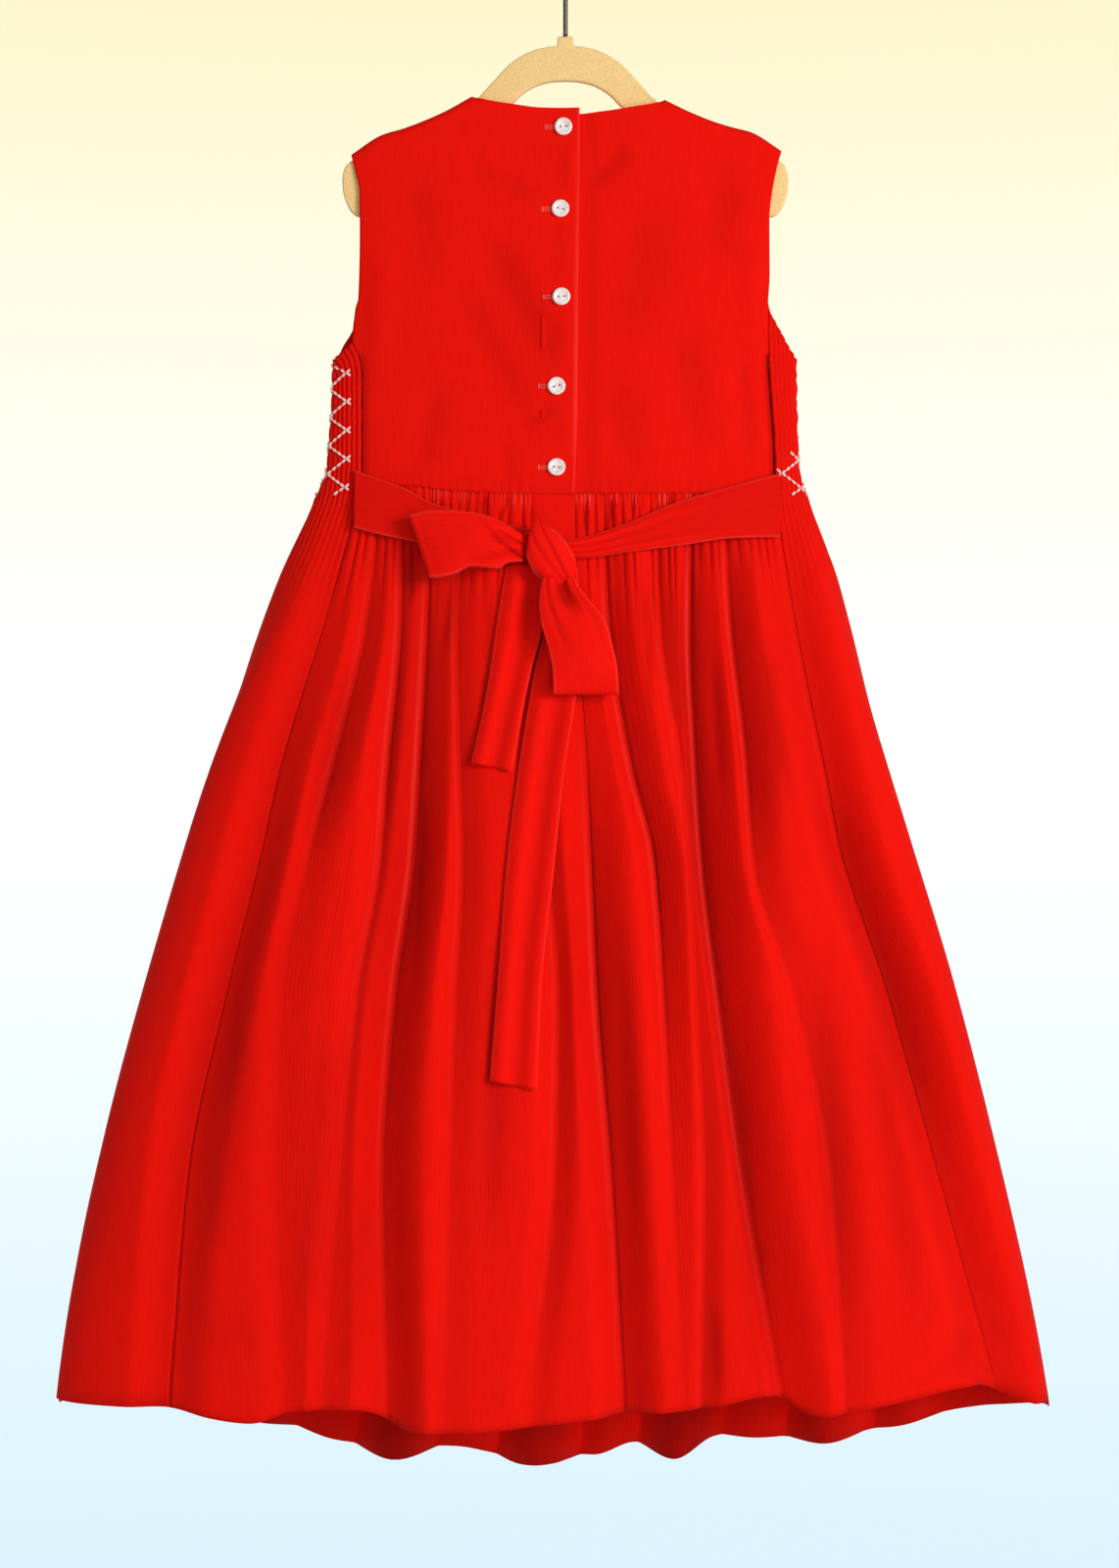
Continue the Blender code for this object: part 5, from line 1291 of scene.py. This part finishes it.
def turned(profile, steps):
    """A bmesh turned round Z from a profile of radii and heights in metres, with its faces outwards."""
    shape = bmesh.new()
    corners = [shape.verts.new((radius, 0, height)) for radius, height in profile]
    edges = [shape.edges.new(pair) for pair in zip(corners, corners[1:])]
    bmesh.ops.spin(
        shape, geom=corners + edges, cent=(0, 0, 0), axis=(0, 0, 1), angle=2 * math.pi, steps=steps,
        use_merge=True,
    )
    bmesh.ops.remove_doubles(shape, verts=shape.verts, dist=MERGE_WITHIN)
    bmesh.ops.recalc_face_normals(shape, faces=shape.faces)
    return shape


def button_shape():
    """The mesh of one button, face up: a turned disc with a rim, a groove and two holes."""
    disc = turned([(radius * MM, height * MM) for radius, height in BUTTON_TURNING], BUTTON_STEPS)
    button = link("button", made_mesh("button", disc))
    cut = bmesh.new()
    radius = BUTTON_HOLE * MM
    for side in (-1, 1):
        hole = bmesh.ops.create_cone(
            cut, segments=HOLE_SIDES, radius1=radius, radius2=radius, depth=HOLE_DEPTH * MM, cap_ends=True
        )
        bmesh.ops.translate(cut, verts=hole["verts"], vec=(side * BUTTON_HOLE_APART * MM, 0, 0))
    cutter = link("holes", made_mesh("holes", cut))
    drilled = button.modifiers.new("Holes", "BOOLEAN")
    drilled.object = cutter
    drilled.solver = "EXACT"
    bpy.context.view_layer.update()
    made = bpy.data.meshes.new_from_object(button.evaluated_get(bpy.context.evaluated_depsgraph_get()))
    bpy.data.objects.remove(button)
    bpy.data.objects.remove(cutter)
    return made


def buttons(finish, thread):
    """Five pearly buttons, each sewn on through its two holes."""
    blank = button_shape()
    threads = []
    for number, mark in enumerate(BUTTONS, start=1):
        above = float(outline_depth(mark.x, mark.z + BUTTON_RADIUS, BACK))
        below = float(outline_depth(mark.x, mark.z - BUTTON_RADIUS, BACK))
        stand = max(float(outline_depth(mark.x, mark.z, BACK)), (above + below) / 2)
        tilt = math.atan((above - below) / (2 * BUTTON_RADIUS))
        at = Vector((mark.x, -(stand + SOLID_CLOTH / 2 + LAY_GAP), mark.z)) * MM
        facing = Matrix.Rotation(math.pi / 2 + tilt, 4, "X")
        put = Matrix.Translation(at) @ facing @ Matrix.Rotation(BUTTON_TURNS[number - 1], 4, "Z")
        mesh = blank.copy()
        mesh.transform(put)
        mesh.shade_smooth()
        mesh.set_sharp_from_angle(angle=BUTTON_SHARP)
        place(link(f"pearl_button_{number}", mesh, finish), "buttons", f"button_{number}")
        for offset in (-SEWING_APART, SEWING_APART):
            holes = [Vector((side * BUTTON_HOLE_APART, offset, SEWING_HIGH)) * MM for side in (-1, 1)]
            threads.append([list(put @ hole / MM) for hole in holes])
    outs = np.tile([0, -1, 0], (len(threads), 1))
    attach(beads("button_threads", threads, SEWING_THREAD, outs, thread, *SEWING_FACES), BODY)


def smooth_outline(points, steps):
    """A closed line through points, with steps between each pair, rounded as a spline."""
    points = np.asarray(points, float)
    before = np.roll(points, 1, 0)
    after = np.roll(points, -1, 0)
    beyond = np.roll(points, -2, 0)
    line = []
    for t in np.arange(steps) / steps:
        part = 2 * points + (after - before) * t + (2 * before - 5 * points + 4 * after - beyond) * t**2
        line.append((part + (3 * points - before - 3 * after + beyond) * t**3) / 2)
    return np.stack(line, 1).reshape(-1, points.shape[1])


def hanger(finish):
    """The flat hanger, with rounded edges and deep, round ends, and the boss for its hook."""
    right = [BOSS_TOP, BOSS_FOOT] + [(mark.x, mark.z) for mark in HANGER_TOP + HANGER_BOTTOM]
    outline = np.array(right + [(-x, z) for x, z in reversed(right[:-1])])
    corner = np.arange(len(outline))
    outline = smooth_outline(outline, HANGER_STEPS)
    outline = np.delete(outline, np.arange((len(corner) - 1) * HANGER_STEPS + 1, len(outline)), 0)
    outline[:, 1] = np.minimum(outline[:, 1], BOSS_TOP[1])
    shape = bmesh.new()
    rim = [shape.verts.new((x * MM, -HANGER_THICKNESS / 2 * MM, z * MM)) for x, z in outline]
    face = shape.faces.new(rim)
    raised = bmesh.ops.extrude_face_region(shape, geom=[face])
    moved = [item for item in raised["geom"] if isinstance(item, bmesh.types.BMVert)]
    bmesh.ops.translate(shape, verts=moved, vec=(0, HANGER_THICKNESS * MM, 0))
    bmesh.ops.recalc_face_normals(shape, faces=shape.faces)
    flat = [edge for edge in shape.edges if abs(edge.verts[0].co.y - edge.verts[1].co.y) < MERGE_WITHIN]
    bmesh.ops.bevel(
        shape, geom=flat, offset=HANGER_ROUND * MM, segments=4, profile=0.5, affect="EDGES", material=-1,
        clamp_overlap=True,
    )
    mesh = made_mesh("flocked_hanger", shape)
    mesh.shade_smooth()
    mesh.set_sharp_from_angle(angle=HANGER_SHARP)
    place(link("flocked_hanger", mesh, finish), "flock", "hanger")


def hook(finish):
    """The hook: round wire bent over the rail, with a rounded tip."""
    radius = HOOK_INSIDE + HOOK_WIRE
    foot = BOSS_TOP[1] + SEAM_GAP
    angles = np.linspace(-math.pi / 2, HOOK_OPEN_ANGLE, HOOK_STEPS)
    stem = np.linspace(foot, -HOOK_INSIDE - radius, STEM_STEPS)[:-1]
    bend = np.stack([radius * np.cos(angles), -HOOK_INSIDE + radius * np.sin(angles)], 1)
    path = np.concatenate([np.stack([0 * stem, stem], 1), bend])
    along = np.gradient(path, axis=0)
    along /= np.linalg.norm(along, axis=1)[:, None]
    side = np.stack([along[:, 1], -along[:, 0]], 1)
    turn = np.linspace(0, 2 * math.pi, WIRE_SIDES + 1)
    to_tip = np.arange(len(path))[::-1]
    width = HOOK_WIRE * np.sqrt(1 - np.clip(1 - to_tip / TIP_STEPS, 0, TIP_ROUND) ** 2)
    across = path[:, None] + side[:, None] * (width[:, None] * np.cos(turn))[..., None]
    depth = width[:, None] * np.sin(turn)
    points = np.stack([across[..., 0], depth, across[..., 1]], 2)
    shape = bmesh.new()
    bmesh.ops.create_grid(shape, x_segments=WIRE_SIDES, y_segments=len(path) - 1, size=1)
    mesh = bpy.data.meshes.new("wire_hook")
    shape.to_mesh(mesh)
    mesh.vertices.foreach_set("co", (points * MM).astype(np.float32).ravel())
    shape.clear()
    shape.from_mesh(mesh)
    bmesh.ops.remove_doubles(shape, verts=shape.verts, dist=MERGE_WITHIN)
    bmesh.ops.holes_fill(shape, edges=shape.edges, sides=0)
    bmesh.ops.recalc_face_normals(shape, faces=shape.faces)
    shape.to_mesh(mesh)
    shape.free()
    mesh.shade_smooth()
    place(link("wire_hook", mesh, finish), "wire", "hanger_hook")


def linear(code):
    """A colour written as sRGB hex, in the linear values that shaders take."""
    parts = [int(code[i : i + 2], 16) / 255 for i in (0, 2, 4)]
    bent = [part / 12.92 if part <= 0.04045 else ((part + 0.055) / 1.055) ** 2.4 for part in parts]
    return (*bent, 1)


def feed(tree, node, inputs):
    """Sets a node's inputs. Each is a number, a colour or another node's output."""
    for socket, value in inputs.items():
        if isinstance(value, bpy.types.NodeSocket):
            tree.links.new(value, node.inputs[socket])
        else:
            node.inputs[socket].default_value = value


def add_node(tree, kind, inputs, **settings):
    """Adds a node with its settings and its inputs."""
    node = tree.nodes.new(kind)
    for key, value in settings.items():
        setattr(node, key, value)
    feed(tree, node, inputs)
    return node


def new_material(name):
    """An empty material, with its node tree, its shader and the place on the object that patterns read."""
    finish = bpy.data.materials.new(name)
    finish.use_nodes = True
    tree = finish.node_tree
    place_at = add_node(tree, "ShaderNodeTexCoord", {}).outputs["Object"]
    return finish, tree, tree.nodes["Principled BSDF"], place_at


def two_tones(tree, pattern, low_at, low, high_at, high):
    """A colour that goes from one tone to another between two values of a pattern."""
    blend = add_node(tree, "ShaderNodeValToRGB", {"Fac": pattern})
    for stop, at, tone in zip(blend.color_ramp.elements, (low_at, high_at), (low, high)):
        stop.position = at
        stop.color = linear(tone)
    return blend.outputs["Color"]


def corduroy_material(name, wale_pitch, bright, deep, wale_depth, wale_tone):
    """Fine-waled cotton corduroy.

    Wales along the grain catch the light, and napped cotton is matt with a pale pink sheen where it turns
    away. Shade is painted into the colour, a little in the grooves between wales and more down in folds and
    creases, and a pale pink highlight is painted on crests and edges. The wales are drawn faint and no finer
    than their usual 1.4 mm, as finer ones would only shimmer at this size.
    """
    finish, tree, shader, place_at = new_material(name)
    grain = add_node(tree, "ShaderNodeUVMap", {}, uv_map="grain").outputs[0]
    wale = add_node(
        tree, "ShaderNodeTexWave", {"Vector": grain, "Scale": WAVE_A_METRE / wale_pitch, "Distortion": 0.0},
        wave_type="BANDS", bands_direction="X", wave_profile="SIN",
    ).outputs["Fac"]
    stretched = add_node(
        tree, "ShaderNodeVectorMath", {0: grain, 1: NAP_GRAINS_A_METRE}, operation="MULTIPLY"
    ).outputs[0]
    nap = add_node(tree, NOISE, {"Vector": stretched, "Scale": 1.0, "Detail": 3.0}).outputs["Fac"]
    cloud = add_node(tree, NOISE, {"Vector": place_at, "Scale": 9.0, "Detail": 4.0}).outputs["Fac"]
    # The painted shade and the painted highlight that the pieces carry
    valley = add_node(tree, "ShaderNodeAttribute", {}, attribute_name="valley").outputs["Fac"]
    worn = add_node(tree, "ShaderNodeAttribute", {}, attribute_name="worn").outputs["Fac"]
    lit = 0.6
    # Painted shade: a little in the grooves between wales and more down in folds and creases; the nap and the
    # cloud vary the tone at random
    for pattern, amount in ((wale, wale_tone), (nap, 0.3), (cloud, 0.12), (valley, -0.5)):
        added = add_node(tree, "ShaderNodeMath", {0: pattern, 1: amount, 2: lit}, operation="MULTIPLY_ADD")
        lit = added.outputs[0]
    added.use_clamp = True
    # The dye's colour, darkened where shade is painted
    dye_and_shade = add_node(tree, "ShaderNodeMix", {0: lit, 6: linear(deep), 7: linear(bright)}, data_type="RGBA")
    # A pale pink highlight painted over it, on crests and edges
    highlighted = {0: worn, 6: dye_and_shade.outputs[2], 7: linear("ff4f48")}
    colour = add_node(tree, "ShaderNodeMix", highlighted, data_type="RGBA")
    rib = add_node(tree, "ShaderNodeBump", {"Height": wale, "Distance": wale_depth, "Strength": 0.2})
    fibres = {"Height": nap, "Distance": 0.00025, "Strength": 0.5, "Normal": rib.outputs[0]}
    fuzz = add_node(tree, "ShaderNodeBump", fibres)
    feed(tree, shader, {
        "Base Color": colour.outputs[2], "Normal": fuzz.outputs[0], "Roughness": 0.86,
        "Specular IOR Level": 0.08, "Sheen Weight": 0.07, "Sheen Roughness": 0.45,
        "Sheen Tint": linear("ff6a70"),
    })
    return finish


def cotton_material(name, bright, deep):
    """Stranded embroidery cotton: a soft shine and fine plies that darken between strands."""
    finish, tree, shader, place_at = new_material(name)
    plies = add_node(tree, NOISE, {"Vector": place_at, "Scale": 1400.0, "Detail": 2.0}).outputs["Fac"]
    bump = add_node(tree, "ShaderNodeBump", {"Height": plies, "Distance": 0.0002, "Strength": 0.5})
    feed(tree, shader, {
        "Base Color": two_tones(tree, plies, 0.35, deep, 0.6, bright), "Normal": bump.outputs[0],
        "Roughness": 0.55, "Sheen Weight": 0.3,
    })
    return finish


def pearl_material():
    """Pearly polyester resin: a cloudy white body with a clear gloss and a faint pink play of colour."""
    finish, tree, shader, place_at = new_material("pearly resin")
    inputs = {"Vector": place_at, "Scale": 260.0, "Detail": 3.0, "Distortion": 1.5}
    cloud = add_node(tree, NOISE, inputs).outputs["Fac"]
    feed(tree, shader, {
        "Base Color": two_tones(tree, cloud, 0.35, "e2d3d4", 0.65, "f4efee"), "Roughness": 0.22,
        "Coat Weight": 0.6, "Coat Roughness": 0.08, "Subsurface Weight": 0.15,
        "Subsurface Radius": (0.001, 0.0008, 0.0008),
    })
    return finish


def flock_material():
    """Nylon flock on a plastic core: short upright fibres, so it is matt, grainy and soft at its rims."""
    finish, tree, shader, place_at = new_material("nylon flock")
    grit = add_node(tree, NOISE, {"Vector": place_at, "Scale": 900.0, "Detail": 3.0}).outputs["Fac"]
    bump = add_node(tree, "ShaderNodeBump", {"Height": grit, "Distance": 0.0004, "Strength": 0.6})
    feed(tree, shader, {
        "Base Color": two_tones(tree, grit, 0.3, "e9c07d", 0.7, "f8d796"), "Normal": bump.outputs[0],
        "Roughness": 0.95, "Sheen Weight": 0.35, "Sheen Tint": linear("fff0cc"),
    })
    return finish


def wire_material():
    """Bent steel wire, dark and a little worn, with fine drawing marks along it."""
    finish, tree, shader, place_at = new_material("bent steel wire")
    marks = add_node(tree, NOISE, {"Vector": place_at, "Scale": 500.0, "Detail": 4.0}).outputs["Fac"]
    rough = add_node(tree, "ShaderNodeMapRange", {"Value": marks, "To Min": 0.25, "To Max": 0.45})
    feed(tree, shader, {"Base Color": linear("6b6763"), "Metallic": 1.0, "Roughness": rough.outputs[0]})
    return finish


def backdrop_material():
    """A pale backdrop that glows a little: cream above, white behind the dress and cool white below."""
    finish, tree, shader, place_at = new_material("backdrop")
    at = add_node(tree, "ShaderNodeSeparateXYZ", {0: place_at}).outputs
    share = add_node(
        tree, "ShaderNodeMapRange",
        {"Value": at["Z"], "From Min": BACKDROP_TONES_Z[0], "From Max": BACKDROP_TONES_Z[1]},
    )
    tones = add_node(tree, "ShaderNodeValToRGB", {"Fac": share.outputs[0]})
    low, high = tones.color_ramp.elements
    low.color = linear("cbe7f4")
    high.color = linear("f8efbf")
    tones.color_ramp.elements.new(0.5).color = linear("ffffff")
    glow = add_node(
        tree, "ShaderNodeMapRange",
        {
            "Value": at["Y"], "From Min": BACKDROP_GLOW_Y[0], "From Max": BACKDROP_GLOW_Y[1],
            "To Min": BACKDROP_GLOW[0], "To Max": BACKDROP_GLOW[1],
        },
        interpolation_type="SMOOTHSTEP",
    )
    feed(tree, shader, {
        "Emission Color": tones.outputs["Color"], "Emission Strength": glow.outputs[0],
        "Base Color": (BACKDROP_SHADE, BACKDROP_SHADE, BACKDROP_SHADE, 1), "Roughness": 0.9,
        "Specular IOR Level": 0.0,
    })
    return finish


def soft_light(name, at, size, power, colour):
    """A large soft light that faces the middle of the dress."""
    lamp = bpy.data.lights.new(name, "AREA")
    lamp.shape = "DISK"
    lamp.size = size
    lamp.energy = power
    lamp.color = colour
    light = link(name, lamp)
    light.location = at
    towards = Vector((0, 0, CAMERA_AT[2])) - Vector(at)
    light.rotation_euler = towards.to_track_quat("-Z", "Y").to_euler()
    light.visible_camera = False


def build_stage(settings):
    """The backdrop, the lights and the camera."""
    bend_x = BOWL_RADIUS - BOWL_BEND * (1 - np.sin(BOWL_ANGLES))
    bend_z = BOWL_FLOOR + BOWL_BEND * (1 - np.cos(BOWL_ANGLES))
    shape = turned([(0, BOWL_FLOOR), *zip(bend_x, bend_z), (BOWL_RADIUS, BOWL_TOP)], BOWL_SIDES)
    bmesh.ops.reverse_faces(shape, faces=shape.faces)
    mesh = made_mesh("backdrop", shape)
    mesh.shade_smooth()
    link("backdrop", mesh, backdrop_material())
    for light in LIGHTS:
        soft_light(light.name, light.at, light.size, light.power * settings.light, light.colour)
    world = bpy.data.worlds.new("studio")
    world.use_nodes = True
    sky = world.node_tree.nodes["Background"]
    feed(world.node_tree, sky, {"Color": (1, 0.98, 0.95, 1), "Strength": WORLD_LIGHT})
    bpy.context.scene.world = world
    bpy.context.scene.view_settings.view_transform = "Standard"
    lens = bpy.data.cameras.new("camera")
    lens.sensor_fit = "VERTICAL"
    lens.sensor_height = CAMERA_SENSOR
    lens.lens = CAMERA_LENS
    lens.dof.use_dof = False
    camera = link("camera", lens)
    camera.location = CAMERA_AT
    camera.rotation_euler = (math.pi / 2, 0, 0)
    bpy.context.scene.camera = camera


class DressSettings(PropertyGroup):
    """What can be changed before the dress is built."""

    wale_pitch: FloatProperty(
        name="Wale pitch",
        description="Distance from one wale of the corduroy to the next",
        default=0.0014,
        min=0.0005,
        unit="LENGTH",
    )
    wale_depth: FloatProperty(
        name="Wale depth",
        description="How high the wales seem to stand",
        default=0.00035,
        min=0,
        unit="LENGTH",
    )
    light: FloatProperty(
        name="Light",
        description="Strength of all the lamps, as a share of the usual one",
        default=1,
        min=0,
        subtype="FACTOR",
    )


def found(name, make):
    """A material by its name, made the first time that it is asked for."""
    return bpy.data.materials.get(name) or make()


def corduroy(settings):
    """The dress's cloth."""
    name = "fine red corduroy"
    made = (name, settings.wale_pitch, "f51003", "600200", settings.wale_depth, 0.06)
    return found(name, lambda: corduroy_material(*made))


def sash_corduroy(settings):
    """The sash's cloth, pressed flat with shallower wales; its tones are painted brighter, with lighter
    shade, for the light that the bow catches.
    """
    name = "pressed red corduroy"
    # Brighter tones paint the light on the bow; the halved wale depth is the pressed nap
    made = (name, settings.wale_pitch, "ff1206", "820300", settings.wale_depth / 2, 0.04)
    return found(name, lambda: corduroy_material(*made))


def cotton(name, bright, deep):
    """A thread, by its name and colours."""
    return found(name, lambda: cotton_material(name, bright, deep))


class DRESS_OT_back(Operator):
    """Build the two halves of the buttoned back"""

    bl_idname = "dress.back"
    bl_label = "Back bodice"

    def execute(self, context):
        back_bodice(corduroy(context.scene.dress))
        return {"FINISHED"}


class DRESS_OT_yoke(Operator):
    """Build the front yoke"""

    bl_idname = "dress.yoke"
    bl_label = "Front yoke"

    def execute(self, context):
        front_yoke(corduroy(context.scene.dress))
        return {"FINISHED"}


class DRESS_OT_front(Operator):
    """Build the smocked front, from the yoke to the hem, and its embroidery"""

    bl_idname = "dress.front"
    bl_label = "Smocked front"

    def execute(self, context):
        smocked_front(corduroy(context.scene.dress))
        smocking_stitches(cotton("stranded cotton", "ffdcd8", "f0a8a0"))
        return {"FINISHED"}


class DRESS_OT_skirt(Operator):
    """Build the two gathered halves of the back skirt"""

    bl_idname = "dress.skirt"
    bl_label = "Back skirt"

    def execute(self, context):
        back_skirt(corduroy(context.scene.dress))
        return {"FINISHED"}


class DRESS_OT_sash(Operator):
    """Build the sash: its ties, knot, loops and tails"""

    bl_idname = "dress.sash"
    bl_label = "Sash and bow"

    def execute(self, context):
        finish = sash_corduroy(context.scene.dress)
        for make in (sash_ties, knot, bow_loops, bow_tails):
            make(finish)
        return {"FINISHED"}


class DRESS_OT_buttons(Operator):
    """Build the buttons, their thread and the buttonholes"""

    bl_idname = "dress.buttons"
    bl_label = "Buttons"

    def execute(self, context):
        buttons(pearl_material(), cotton("white cotton", "fbeeee", "dcc4c4"))
        buttonholes(cotton("red buttonhole twist", "ff5a48", "e02a1c"))
        return {"FINISHED"}


class DRESS_OT_hanger(Operator):
    """Build the hanger and its hook"""

    bl_idname = "dress.hanger"
    bl_label = "Hanger"

    def execute(self, context):
        hanger(flock_material())
        hook(wire_material())
        return {"FINISHED"}


class DRESS_OT_stage(Operator):
    """Build the backdrop, the lights and the camera"""

    bl_idname = "dress.stage"
    bl_label = "Stage"

    def execute(self, context):
        build_stage(context.scene.dress)
        return {"FINISHED"}


OPERATORS = (
    DRESS_OT_hanger,
    DRESS_OT_back,
    DRESS_OT_yoke,
    DRESS_OT_front,
    DRESS_OT_skirt,
    DRESS_OT_sash,
    DRESS_OT_buttons,
    DRESS_OT_stage,
)


class DRESS_PT_panel(Panel):
    """The dress's settings and the steps that build it, in order"""

    bl_idname = "DRESS_PT_panel"
    bl_label = "Smocked Dress"
    bl_space_type = "VIEW_3D"
    bl_region_type = "UI"
    bl_category = "Dress"

    def draw(self, context):
        layout = self.layout
        settings = context.scene.dress
        layout.prop(settings, "wale_pitch")
        layout.prop(settings, "wale_depth")
        layout.prop(settings, "light")
        for operator in OPERATORS:
            layout.operator(operator.bl_idname)


CLASSES = (DressSettings,) + OPERATORS + (DRESS_PT_panel,)


def register():
    for one in CLASSES:
        bpy.utils.register_class(one)
    bpy.types.Scene.dress = PointerProperty(type=DressSettings)


def unregister():
    del bpy.types.Scene.dress
    for one in reversed(CLASSES):
        bpy.utils.unregister_class(one)


def main():
    """Builds everything in order."""
    register()
    for operator in OPERATORS:
        getattr(bpy.ops.dress, operator.bl_idname.split(".")[1])()


if __name__ == "__main__":
    main()
